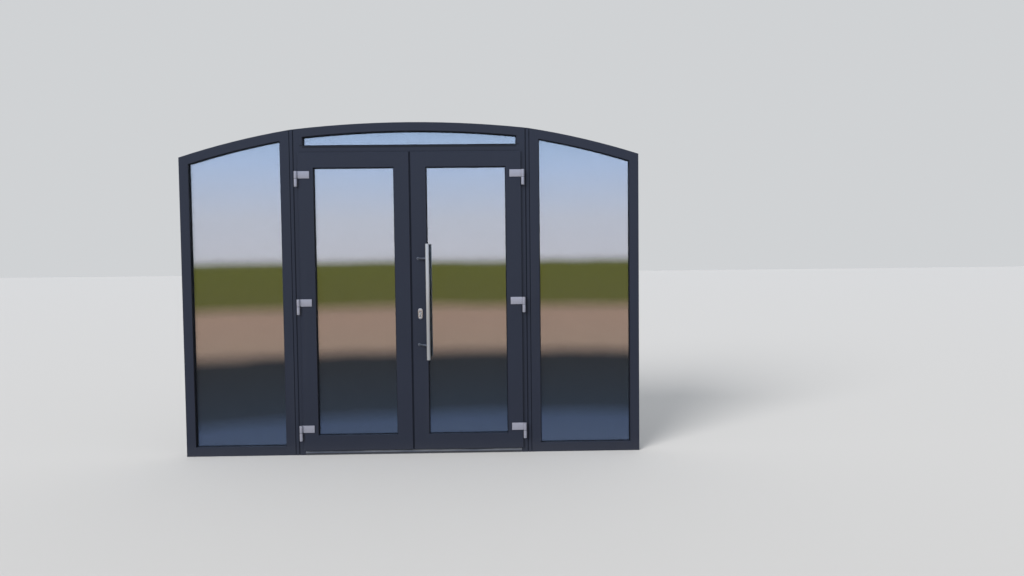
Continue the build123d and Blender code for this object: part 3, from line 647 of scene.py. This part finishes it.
class Growth(Tree):
    """A Geometry Nodes tree under construction, with named inputs for its sizes."""

    def __init__(self, name):
        super().__init__(bpy.data.node_groups.new(name, "GeometryNodeTree"))
        self.identifiers = {}
        self.add_socket("Geometry", "INPUT", "NodeSocketGeometry")
        self.add_socket("Geometry", "OUTPUT", "NodeSocketGeometry")
        self.start = self.tree.nodes.new("NodeGroupInput")
        self.end = self.tree.nodes.new("NodeGroupOutput")

    def add_socket(self, name, direction, kind):
        """A named socket of the tree. A modifier finds an input by its identifier."""
        socket = self.tree.interface.new_socket(name=name, in_out=direction, socket_type=kind)
        self.identifiers[direction, name] = socket.identifier

    def size(self, name, kind="NodeSocketFloat"):
        """A named input of the tree, as a socket."""
        self.add_socket(name, "INPUT", kind)
        return self.start.outputs[name]

    def close(self, geometry):
        """Realizes the instances, sets the material and ends the tree."""
        material = self.size("Material", "NodeSocketMaterial")
        real = self.add("GeometryNodeRealizeInstances", values={"Geometry": geometry}).outputs[0]
        dressed = self.add("GeometryNodeSetMaterial", values={"Geometry": real, "Material": material})
        self.tree.links.new(dressed.outputs[0], self.end.inputs[0])

    def grow(self, name, start_mesh, body, slot, **sizes):
        """Runs the tree on a mesh, and makes the result a plain piece that rides on a body."""
        helper = bpy.data.objects.new(name + "_start", start_mesh)
        bpy.context.scene.collection.objects.link(helper)
        modifier = helper.modifiers.new(self.tree.name, "NODES")
        modifier.node_group = self.tree
        for key, value in sizes.items():
            modifier[self.identifiers["INPUT", key]] = value
        helper.update_tag()
        found = helper.evaluated_get(bpy.context.evaluated_depsgraph_get())
        mesh = bpy.data.meshes.new_from_object(found)
        mesh.name = name
        bpy.data.objects.remove(helper)
        bpy.data.meshes.remove(start_mesh)
        place(name, mesh, None, body, slot)


class Strips(Growth):
    """Grows a round strip along every edge of a mesh."""

    def __init__(self):
        super().__init__("Strip along a path")
        radius = self.size("Radius")
        sides = self.size("Sides", "NodeSocketInt")
        path = self.add("GeometryNodeMeshToCurve", values={"Mesh": self.start.outputs["Geometry"]})
        section = self.add(
            "GeometryNodeCurvePrimitiveCircle", {"mode": "RADIUS"}, {"Resolution": sides, "Radius": radius}
        )
        strip = self.add("GeometryNodeCurveToMesh", values={
            "Curve": path.outputs[0], "Profile Curve": section.outputs[0], "Fill Caps": True,
        })
        self.close(strip.outputs[0])

    def lay(self, name, loops, body, slot, radius, material, sides=8):
        """One piece of strips along loops or lines of points, each a list and whether it closes."""
        points, edges = [], []
        for spots, closed in loops:
            start = len(points)
            points += spots
            edges += [(start + i, start + i + 1) for i in range(len(spots) - 1)]
            if closed:
                edges.append((start + len(spots) - 1, start))
        mesh = bpy.data.meshes.new(name + "_path")
        mesh.from_pydata(points, edges, [])
        self.grow(name, mesh, body, slot, Radius=radius, Sides=sides, Material=material)


class ScrewHeads(Growth):
    """Grows a screw head on every point, turned to face along the point's facing."""

    def __init__(self):
        super().__init__("Screw heads")
        head = self.size("Head", "NodeSocketObject")
        diameter = self.size("Diameter")
        seed = self.size("Seed", "NodeSocketInt")
        info = self.add("GeometryNodeObjectInfo", values={"Object": head})
        facing = self.add(
            "GeometryNodeInputNamedAttribute", {"data_type": "FLOAT_VECTOR"}, {"Name": "facing"}
        )
        turn = self.add(
            "FunctionNodeRandomValue", {"data_type": "FLOAT"}, {"Min": 0.0, "Max": pi / 3, "Seed": seed}
        )
        twist = self.add("ShaderNodeCombineXYZ", values={2: turn.outputs[1]})
        spun = self.add("FunctionNodeEulerToRotation", values={0: twist.outputs[0]})
        aimed = self.add(
            "FunctionNodeAlignRotationToVector", {"axis": "Z"},
            {"Rotation": spun.outputs[0], "Vector": facing.outputs[0]},
        )
        heads = self.add("GeometryNodeInstanceOnPoints", values={
            "Points": self.start.outputs["Geometry"], "Instance": info.outputs["Geometry"],
            "Rotation": aimed.outputs[0], "Scale": diameter,
        })
        self.close(heads.outputs[0])

    def fit(self, name, spots, body, slot, diameter, material, seed):
        """One piece of screw heads at spots, each a place and the direction it faces."""
        mesh = bpy.data.meshes.new(name + "_points")
        mesh.from_pydata([spot for spot, _ in spots], [], [])
        attribute = mesh.attributes.new("facing", "FLOAT_VECTOR", "POINT")
        attribute.data.foreach_set("vector", [part for _, facing in spots for part in facing])
        model = bpy.data.objects.new(name + "_head", screw_head())
        bpy.context.scene.collection.objects.link(model)
        self.grow(name, mesh, body, slot, Head=model, Diameter=diameter, Seed=seed, Material=material)
        bpy.data.objects.remove(model)


def screw_head():
    """Low domed head, one unit across, with a six-sided socket."""
    count = 24
    rings = (
        (0.50, -0.04, False), (0.50, 0.05, False), (0.44, 0.12, False), (0.30, 0.17, False),
        (0.235, 0.18, True), (0.22, 0.02, True),
    )
    form = bmesh.new()
    rows = []
    for radius, height, six_sided in rings:
        row = []
        for i in range(count):
            angle = 2 * pi * i / count
            side = angle % (pi / 3) - pi / 6
            reach = radius * cos(pi / 6) / cos(side) if six_sided else radius
            row.append(form.verts.new((reach * cos(angle), reach * sin(angle), height)))
        rows.append(row)
    for low, high in zip(rows, rows[1:]):
        for i in range(count):
            j = (i + 1) % count
            form.faces.new((low[i], low[j], high[j], high[i]))
    form.faces.new(rows[-1])
    form.faces.new(rows[0][::-1])
    return as_mesh(form, "screw_head")


def prisms(name, rows, material, body, slot):
    """Upright prisms as one piece, each a section of X-Y points with its lowest and highest level."""
    form = bmesh.new()
    for section, low, high in rows:
        floor = [form.verts.new((x, y, low)) for x, y in section]
        roof = [form.verts.new((x, y, high)) for x, y in section]
        for i, corner in enumerate(floor):
            j = (i + 1) % len(floor)
            form.faces.new((corner, floor[j], roof[j], roof[i]))
        form.faces.new(roof)
        form.faces.new(floor[::-1])
    bmesh.ops.recalc_face_normals(form, faces=form.faces)
    place(name, as_mesh(form, name), material, body, slot)


def outline_loops(outline, inset, level):
    """The outline as one closed loop at a level of depth."""
    return [([(x, level, z) for x, z in outline.path(inset)], True)]


def mitre_lines(outline, start, end, level):
    """Lines across the corners, from one inset to another, at a level of depth."""
    pairs = list(zip(outline.corners(start), outline.corners(end)))
    if not outline.bottom_rail:
        pairs = pairs[2:]
    return [([(x, level, z) for x, z in pair], False) for pair in pairs]


# Steps

class ENTRANCE_OT_foil(bpy.types.Operator):
    """Dress the frames, leaves, beads and closing profiles in foil"""

    bl_idname = "entrance.foil"
    bl_label = "Foil"

    def execute(self, context):
        sizes, finishes = context.scene.entrance_sizes, context.scene.entrance_finishes
        outlines = frame_outlines(sizes)
        for name, outline in outlines.items():
            lip_end = (sizes.sash_profile if "sash" in name else sizes.profile) + sizes.lip
            dress([name], foil_finish("foil_" + name, finishes, outline, lip_end))
        for name, outline in glazing_outlines(sizes).items():
            bead, lip_end = name + "_bead", bead_width(sizes, name)
            # The fanlight's bead also gets the painted shade on its lower ledge.
            dress([bead], foil_finish("foil_" + bead, finishes, outline, lip_end, name == "fanlight"))
        # Height of a painted shadow line on the transom, just above the leaves' top edge.
        shade_line = outlines["passive_sash"].top + 3 * MM
        dress(["transom"], foil_finish("foil_transom", finishes, shade_line=shade_line))
        dress(["passive_bottom_profile", "active_bottom_profile"], foil_finish("foil_level", finishes))
        upright = foil_finish("foil_upright", finishes, upright=True)
        dress(["left_coupling_profile", "right_coupling_profile"], upright)
        dress(["passive_meeting_profile", "active_edge_profile"], upright)
        return {"FINISHED"}


class ENTRANCE_OT_glazing(bpy.types.Operator):
    """Glaze the five openings and add the seals along the beads"""

    bl_idname = "entrance.glazing"
    bl_label = "Glazing"

    def execute(self, context):
        sizes, finishes = context.scene.entrance_sizes, context.scene.entrance_finishes
        rubber = rubber_finish("gasket_rubber", finishes)
        bar = metal_finish("spacer_aluminium", finishes.aluminium, 0.35, (400, 400, 400))
        strips = Strips()
        standing, inward = 0.6 * sizes.bead_seal, 0.5 * sizes.bead_seal
        for name, outline in glazing_outlines(sizes).items():
            low, high = span(name + "_panes")
            dress([name + "_panes"], glass_finish("glass_" + name, finishes, low, high))
            dress([name + "_spacer"], bar)
            dress([name + "_gasket"], rubber)
            outside = span(name + "_bead")[0].y < low.y
            level = low.y - standing if outside else high.y + standing
            loops = outline_loops(outline, bead_width(sizes, name) + inward, level)
            body = body_of(name + "_bead")
            strips.lay(name + "_bead_seal", loops, body, "black_rubber", sizes.bead_seal, rubber)
        return {"FINISHED"}


class ENTRANCE_OT_seals(bpy.types.Operator):
    """Add the seals of the leaves and the sealant in the joints, and dress the seal on the stop"""

    bl_idname = "entrance.seals"
    bl_label = "Seals"

    def execute(self, context):
        sizes, finishes = context.scene.entrance_sizes, context.scene.entrance_finishes
        rubber = rubber_finish("seal_rubber", finishes)
        dress(["door_frame_seal"], rubber)
        strips = Strips()
        level = span("door_frame")[0].y - sizes.edge_seal - sizes.clearance
        for leaf in ("passive", "active"):
            outline = Opening(*span(leaf + "_sash"))
            loops = outline_loops(outline, sizes.edge_seal_inset, level)
            name, body = leaf + "_leaf_edge_seal", leaf + "_leaf"
            strips.lay(name, loops, body, "black_rubber", sizes.edge_seal, rubber)
        self.close_meeting(rubber)
        self.seal_joints(sizes, rubber)
        return {"FINISHED"}

    def close_meeting(self, rubber):
        """A lip on each leaf across the gap between them, near the front and near the back."""
        low, high = span("active_sash")
        bottom, top = ends(low, high, 1 * MM)
        half_gap, root = low.x, 0.5 * MM
        for leaf, side, outer, inner in (
            ("active", 1, low.y + 1.5 * MM, low.y + 4.5 * MM),
            ("passive", -1, high.y - 1 * MM, high.y - 4 * MM),
        ):
            thick = inner - outer
            foot, tip = side * (half_gap + root), -side * 0.8 * half_gap
            section = [
                (foot, outer), (tip, outer), (tip, outer + thick / 3),
                (side * 0.4 * half_gap, outer + thick / 2), (side * half_gap, inner), (foot, inner),
            ]
            prisms(leaf + "_meeting_lip", [(section, bottom, top)], rubber, leaf + "_leaf", "black_rubber")

    def seal_joints(self, sizes, rubber):
        """Sealant in the joints between the door frame, the couplings and the sidelights."""
        outline = frame_outlines(sizes)["door_frame"]
        below_head, above_floor = 4 * MM, 2 * MM
        rows = []
        for name, side in (("left_coupling_profile", -1), ("right_coupling_profile", 1)):
            low, high = span(name)
            inner, outer = (low.x, high.x) if side > 0 else (high.x, low.x)
            for start, end in (
                (inner, inner + side * sizes.door_joint),
                (outer - side * sizes.side_joint, outer),
            ):
                top = outline.head(max(abs(start), abs(end))) - below_head
                for face, inward in ((low.y, 1), (high.y, -1)):
                    section = self.sealant_section(start, end, side * sizes.joint_smear, face, inward)
                    rows.append((section, above_floor, top))
        prisms("joint_sealant", rows, rubber, body_of("door_frame"), "black_rubber")

    def sealant_section(self, start, end, smear, face, inward):
        """Section of the sealant from one edge of a joint to the other, hollow-drawn in its middle."""
        skin, hollow, depth = 0.15 * MM, 1.3 * MM, 5 * MM
        return [(x, face + inward * sunk) for x, sunk in (
            (start - smear, -skin),
            (start + smear, 0.6 * hollow),
            (middle(start, end), hollow),
            (end - smear, 0.6 * hollow),
            (end + smear, -skin),
            (end + smear, 0.2 * depth),
            (end, depth),
            (start, depth),
            (start - smear, 0.2 * depth),
        )]


class ENTRANCE_OT_hinges(bpy.types.Operator):
    """Finish the hinges in satin silver, with rounded edges"""

    bl_idname = "entrance.hinges"
    bl_label = "Hinges"

    def execute(self, context):
        finishes = context.scene.entrance_finishes
        silver = metal_finish("satin_silver", finishes.silver, 0.42, (60, 60, 60), 0.06, 0.35)
        for node, name in (
            ("passive_hinge_leaves", "left_hinge_plates"),
            ("active_hinge_leaves", "right_hinge_plates"),
            ("left_hinge_knuckles", "left_hinge_feet"),
            ("right_hinge_knuckles", "right_hinge_feet"),
        ):
            soften(node, name, 2.6 * MM, silver, segments=4)
        bush = plastic_finish("bush_plastic", finishes.bush)
        dress(["passive_hinge_bushes", "active_hinge_bushes"], bush)
        dress(["hinge_pins"], metal_finish("pin_steel", finishes.bright, 0.25, (40, 40, 900)))
        return {"FINISHED"}


class ENTRANCE_OT_pull_bar(bpy.types.Operator):
    """Finish the pull bar and its stays in brushed stainless steel"""

    bl_idname = "entrance.pull_bar"
    bl_label = "Pull bar"

    def execute(self, context):
        finishes = context.scene.entrance_finishes
        upright = metal_finish("bar_steel", finishes.bar_steel, 0.36, (900, 900, 6), 0.20, 0.45)
        soften("pull_bar", "pull_bar_tube", 0.8 * MM, upright)
        # The stays get a darker copy of the steel, as painted shade.
        stays = metal_finish("stay_steel", finishes.stay_steel, 0.40, (5, 600, 600), metallic=0.85)
        soften("pull_bar_brackets", "pull_bar_stays", 0.6 * MM, stays)
        return {"FINISHED"}


class ENTRANCE_OT_lock(bpy.types.Operator):
    """Finish the lock, its cylinder, lever and plates, the shoot bolts and the hidden steel"""

    bl_idname = "entrance.lock"
    bl_label = "Lock"

    def execute(self, context):
        finishes = context.scene.entrance_finishes
        plate = metal_finish("plate_steel", finishes.steel, 0.30, (600, 600, 6))
        cover = metal_finish("cover_steel", finishes.cover, 0.30, (600, 600, 6))
        level = metal_finish("lever_steel", finishes.steel, 0.26, (6, 600, 600))
        bolt = metal_finish("bolt_steel", finishes.bright, 0.22, (9, 600, 600))
        nickel = metal_finish("cylinder_nickel", finishes.nickel, 0.24, (500, 60, 500))
        for node, name, width, finish in (
            ("outer_escutcheon", "outer_cylinder_cover", 0.5, cover),
            ("inner_backplate", "inner_lever_plate", 0.5, plate),
            ("lock_faceplate", "lock_front", 0.25, plate),
            ("strike_plate", "strike_front", 0.25, plate),
            ("inner_lever", "inner_lever_handle", 0.8, level),
            ("dead_bolt", "dead_bolt_block", 0.5, bolt),
            ("latch_bolt", "latch_bolt_block", 0.5, bolt),
            ("upper_shoot_bolt", "upper_shoot_rod", 0.4, bolt),
            ("lower_shoot_bolt", "lower_shoot_rod", 0.4, bolt),
            ("lock_cylinder", "lock_cylinder_body", 0.25, nickel),
            ("cylinder_plug", "cylinder_plug_core", 0.2, nickel),
            ("shoot_bolt_keepers", "shoot_bolt_keeper_plates", 0.3, plate),
        ):
            soften(node, name, width * MM, finish)
        zinc = zinc_finish("galvanised_sheet", finishes)
        dress(["lock_case", "door_frame_reinforcement"], zinc)
        dress(["passive_sash_reinforcement", "active_sash_reinforcement"], zinc)
        return {"FINISHED"}


class ENTRANCE_OT_sill(bpy.types.Operator):
    """Finish the sill and its base, and add the ribs underfoot"""

    bl_idname = "entrance.sill"
    bl_label = "Sill"

    def execute(self, context):
        sizes, finishes = context.scene.entrance_sizes, context.scene.entrance_finishes
        worn = sill_finish("worn_aluminium", finishes, *span("threshold"))
        dress(["threshold"], worn)
        dress(["threshold_base"], plastic_finish("base_plastic", finishes.base))
        lines, body = self.rib_lines(sizes), body_of("threshold")
        Strips().lay("sill_ribs", lines, body, "threshold_aluminium", sizes.rib, worn)
        return {"FINISHED"}

    def rib_lines(self, sizes):
        """Lines along the sill in front of the seal, which stop short of the keeper's hole."""
        low, high = span("threshold")
        keeper_low, keeper_high = span("shoot_bolt_keepers")
        margin, front, gap = 4 * MM, 9 * MM, 2 * MM
        start, end = low.x + margin, high.x - margin
        level, back = low.y + front, span("door_frame_seal")[0].y - margin
        lines = []
        while level < back:
            runs = [(start, end)]
            if keeper_low.y - gap < level < keeper_high.y + gap:
                runs = [(start, keeper_low.x - gap), (keeper_high.x + gap, end)]
            lines += [([(x, level, high.z) for x in run], False) for run in runs]
            level += sizes.rib_pitch
        return lines


class ENTRANCE_OT_welds(bpy.types.Operator):
    """Add the trimmed welds across the corners of the frames and leaves"""

    bl_idname = "entrance.welds"
    bl_label = "Corner welds"

    def execute(self, context):
        sizes, finishes = context.scene.entrance_sizes, context.scene.entrance_finishes
        ink = plastic_finish("weld_plastic", scaled(finishes.foil, 0.5))
        strips = Strips()
        edge, short_of_lip, sunk = 1 * MM, 3.5 * MM, 0.6 * sizes.weld
        for name, outline in frame_outlines(sizes).items():
            low, high = span(name)
            rebate, step = (sizes.sash_profile, sizes.sash_step) if "sash" in name else (sizes.profile, 0.0)
            lip_side = edge, rebate + sizes.lip - short_of_lip
            bead_side = step + edge, rebate - edge
            front, back = (bead_side, lip_side) if name == "door_frame" else (lip_side, bead_side)
            lines = mitre_lines(outline, *front, low.y + sunk) + mitre_lines(outline, *back, high.y - sunk)
            strips.lay(name + "_welds", lines, body_of(name), slot_of(name), sizes.weld, ink, sides=10)
        return {"FINISHED"}


class ENTRANCE_OT_screws(bpy.types.Operator):
    """Add the screws of the lock, the lever, the strike plate, the keepers, the stays and the hinges"""

    bl_idname = "entrance.screws"
    bl_label = "Screws"

    def execute(self, context):
        sizes, finishes = context.scene.entrance_sizes, context.scene.entrance_finishes
        steel = metal_finish("screw_steel", finishes.steel, 0.28, (300, 300, 300))
        heads = ScrewHeads()
        lock_front = self.on_plate("lock_faceplate", -1, 9 * MM)
        strike_front = self.on_plate("strike_plate", 1, 11 * MM)
        for seed, (name, body, spots, diameter) in enumerate((
            ("lever_plate_screws", "active_leaf", self.on_lever_plate(), sizes.screw),
            ("lock_front_screws", "active_leaf", lock_front, sizes.plate_screw),
            ("strike_front_screws", "passive_leaf", strike_front, sizes.plate_screw),
            ("keeper_screws", "frame", self.on_keepers(), sizes.keeper_screw),
            ("stay_screws", "active_leaf", self.under_stays(sizes), sizes.grub_screw),
            ("lever_screw", "lever", self.under_lever(), sizes.grub_screw),
            ("hinge_adjusters", "frame", self.under_hinges(sizes), sizes.adjuster),
        )):
            heads.fit(name, spots, body, "stainless", diameter, steel, seed)
        return {"FINISHED"}

    def on_lever_plate(self):
        """One near each end of the plate behind the lever."""
        low, high = span("inner_backplate")
        x = middle(low.x, high.x)
        return [((x, high.y, z), (0, 1, 0)) for z in ends(low, high, 14 * MM)]

    def on_plate(self, node, side, inset):
        """One near each end of an upright plate in the meeting edge, sunk into it."""
        low, high = span(node)
        x = (low.x if side < 0 else high.x) - side * 0.7 * MM
        y = middle(low.y, high.y)
        return [((x, y, z), (side, 0, 0)) for z in ends(low, high, inset)]

    def on_keepers(self):
        """One near each end of the keeper in the sill and of the one in the head, sunk into them."""
        low, high = span("shoot_bolt_keepers")
        inset, sunk = 6 * MM, 1.4 * MM
        y = middle(low.y, high.y)
        spots = []
        for x in (low.x + inset, high.x - inset):
            spots.append(((x, y, low.z + sunk), (0, 0, 1)))
            spots.append(((x, y, high.z - sunk), (0, 0, -1)))
        return spots

    def under_stays(self, sizes):
        """Grub screws that clamp the bar, under the middle of each stay."""
        low, high = span("pull_bar_brackets")
        x, y, drop = middle(low.x, high.x), middle(low.y, high.y), sizes.stay - 0.4 * MM
        return [((x, y, z - drop), (0, 0, -1)) for z in ends(low, high, sizes.flange)]

    def under_lever(self):
        """A grub screw in the lever's neck, behind its plate."""
        bottom = span("inner_lever")[0].z
        low, high = span("inner_backplate")
        return [((middle(low.x, high.x), high.y + 12 * MM, bottom + 0.9 * MM), (0, 0, -1))]

    def under_hinges(self, sizes):
        """Adjusting screws in the undersides of the barrels."""
        bottom, top = ends(*span("active_sash"), sizes.hinge_end)
        pitch = (top - bottom) / (HINGES_PER_LEAF - 1)
        spots = []
        for name in ("left_hinge_knuckles", "right_hinge_knuckles"):
            low, high = span(name)
            x, y, z = middle(low.x, high.x), low.y + sizes.barrel, low.z + 0.2 * MM
            spots += [((x, y, z + i * pitch), (0, 0, -1)) for i in range(HINGES_PER_LEAF)]
        return spots


class ENTRANCE_OT_stage(bpy.types.Operator):
    """Set up the floor, the soft light and the camera"""

    bl_idname = "entrance.stage"
    bl_label = "Stage"

    def execute(self, context):
        stage = context.scene.entrance_stage
        self.lay_floor(context, stage)
        self.light_gloss_and_all_round(context, stage)
        self.set_key_light(context, stage)
        self.set_camera(context, stage)
        context.scene.view_settings.view_transform = "Standard"
        return {"FINISHED"}

    def lay_floor(self, context, stage):
        """A plain pale floor that gloss doesn't mirror."""
        reach = stage.floor_reach
        corners = [(x * reach, y * reach, 0) for x, y in ((-1, -1), (1, -1), (1, 1), (-1, 1))]
        mesh = bpy.data.meshes.new("floor")
        mesh.from_pydata(corners, [], [(0, 1, 2, 3)])
        floor = bpy.data.objects.new("floor", mesh)
        context.scene.collection.objects.link(floor)
        s = Finish("pale_floor")
        coat(floor, s.finish(Base_Color=stage.floor, Roughness=0.9, Specular_IOR_Level=0.1))
        floor.visible_glossy = False

    def light_gloss_and_all_round(self, context, stage):
        """Soft light from all round, a plain surround for the camera, and a softly banded one for gloss."""
        world = bpy.data.worlds.new("studio")
        context.scene.world = world
        world.use_nodes = True
        world.node_tree.nodes.clear()
        sky = Tree(world.node_tree)
        rays = sky.add("ShaderNodeLightPath").outputs
        facing = sky.add("ShaderNodeTexCoord").outputs["Generated"]
        height = Wire(sky, sky.add("ShaderNodeSeparateXYZ", values={0: facing}).outputs[2]) + 0.5
        bands = sky.add("ShaderNodeValToRGB", {"stops": GLOSS_BANDS}, {0: height}).outputs[0]
        gloss, soft, seen = (
            sky.add("ShaderNodeBackground", values={0: shade, 1: strength}).outputs[0]
            for shade, strength in (
                (bands, stage.gloss_strength),
                (stage.daylight, stage.daylight_strength),
                (stage.surround, 1.0),
            )
        )
        mixed = {0: rays["Is Glossy Ray"], 1: soft, 2: gloss}
        lit = sky.add("ShaderNodeMixShader", values=mixed).outputs[0]
        mixed = {0: rays["Is Camera Ray"], 1: lit, 2: seen}
        whole = sky.add("ShaderNodeMixShader", values=mixed).outputs[0]
        sky.add("ShaderNodeOutputWorld", values={0: whole})

    def set_key_light(self, context, stage):
        """A wide sun from the upper left, aimed at the middle of the object."""
        lamp = bpy.data.lights.new("key_light", "SUN")
        lamp.angle = stage.key_spread
        lamp.energy = stage.key_strength
        key = bpy.data.objects.new("key_light", lamp)
        key.location = stage.key_place
        aim = middle(*cad_bounds) - key.location
        key.rotation_euler = aim.to_track_quat("-Z", "Y").to_euler()
        key.visible_glossy = False
        context.scene.collection.objects.link(key)

    def set_camera(self, context, stage):
        """The camera, where the photograph was taken from."""
        data = bpy.data.cameras.new("camera")
        data.sensor_width = stage.sensor
        data.lens = stage.focal
        camera = bpy.data.objects.new("camera", data)
        pitch, roll, yaw = stage.turn
        stand = Matrix.Translation(stage.place)
        for angle, axis in ((yaw, "Z"), (pitch, "X"), (roll, "Y"), (radians(90), "X")):
            stand = stand @ Matrix.Rotation(angle, 4, axis)
        camera.matrix_world = stand
        context.scene.collection.objects.link(camera)
        context.scene.camera = camera


OPERATORS = (
    ENTRANCE_OT_foil,
    ENTRANCE_OT_glazing,
    ENTRANCE_OT_seals,
    ENTRANCE_OT_hinges,
    ENTRANCE_OT_pull_bar,
    ENTRANCE_OT_lock,
    ENTRANCE_OT_sill,
    ENTRANCE_OT_welds,
    ENTRANCE_OT_screws,
    ENTRANCE_OT_stage,
)

GROUPS = {
    "entrance_sizes": EntranceSizes,
    "entrance_finishes": EntranceFinishes,
    "entrance_stage": EntranceStage,
}


class ENTRANCE_PT_panel(bpy.types.Panel):
    """Lists the steps and the values that they use"""

    bl_idname = "ENTRANCE_PT_panel"
    bl_label = "Arched glass entrance"
    bl_space_type = "VIEW_3D"
    bl_region_type = "UI"
    bl_category = "Entrance"

    def draw(self, context):
        for operator in OPERATORS:
            self.layout.operator(operator.bl_idname)
        for name, group in GROUPS.items():
            box = self.layout.box()
            for key in group.__annotations__:
                box.prop(getattr(context.scene, name), key)


CLASSES = (*GROUPS.values(), *OPERATORS, ENTRANCE_PT_panel)


def register():
    """Adds the classes, and the groups of values to every scene."""
    for item in CLASSES:
        bpy.utils.register_class(item)
    for name, group in GROUPS.items():
        setattr(bpy.types.Scene, name, PointerProperty(type=group))


def unregister():
    """Takes out what register adds."""
    for name in GROUPS:
        delattr(bpy.types.Scene, name)
    for item in reversed(CLASSES):
        bpy.utils.unregister_class(item)


def main():
    """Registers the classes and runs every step."""
    register()
    for operator in OPERATORS:
        group, name = operator.bl_idname.split(".")
        getattr(getattr(bpy.ops, group), name)()


if __name__ == "__main__":
    main()
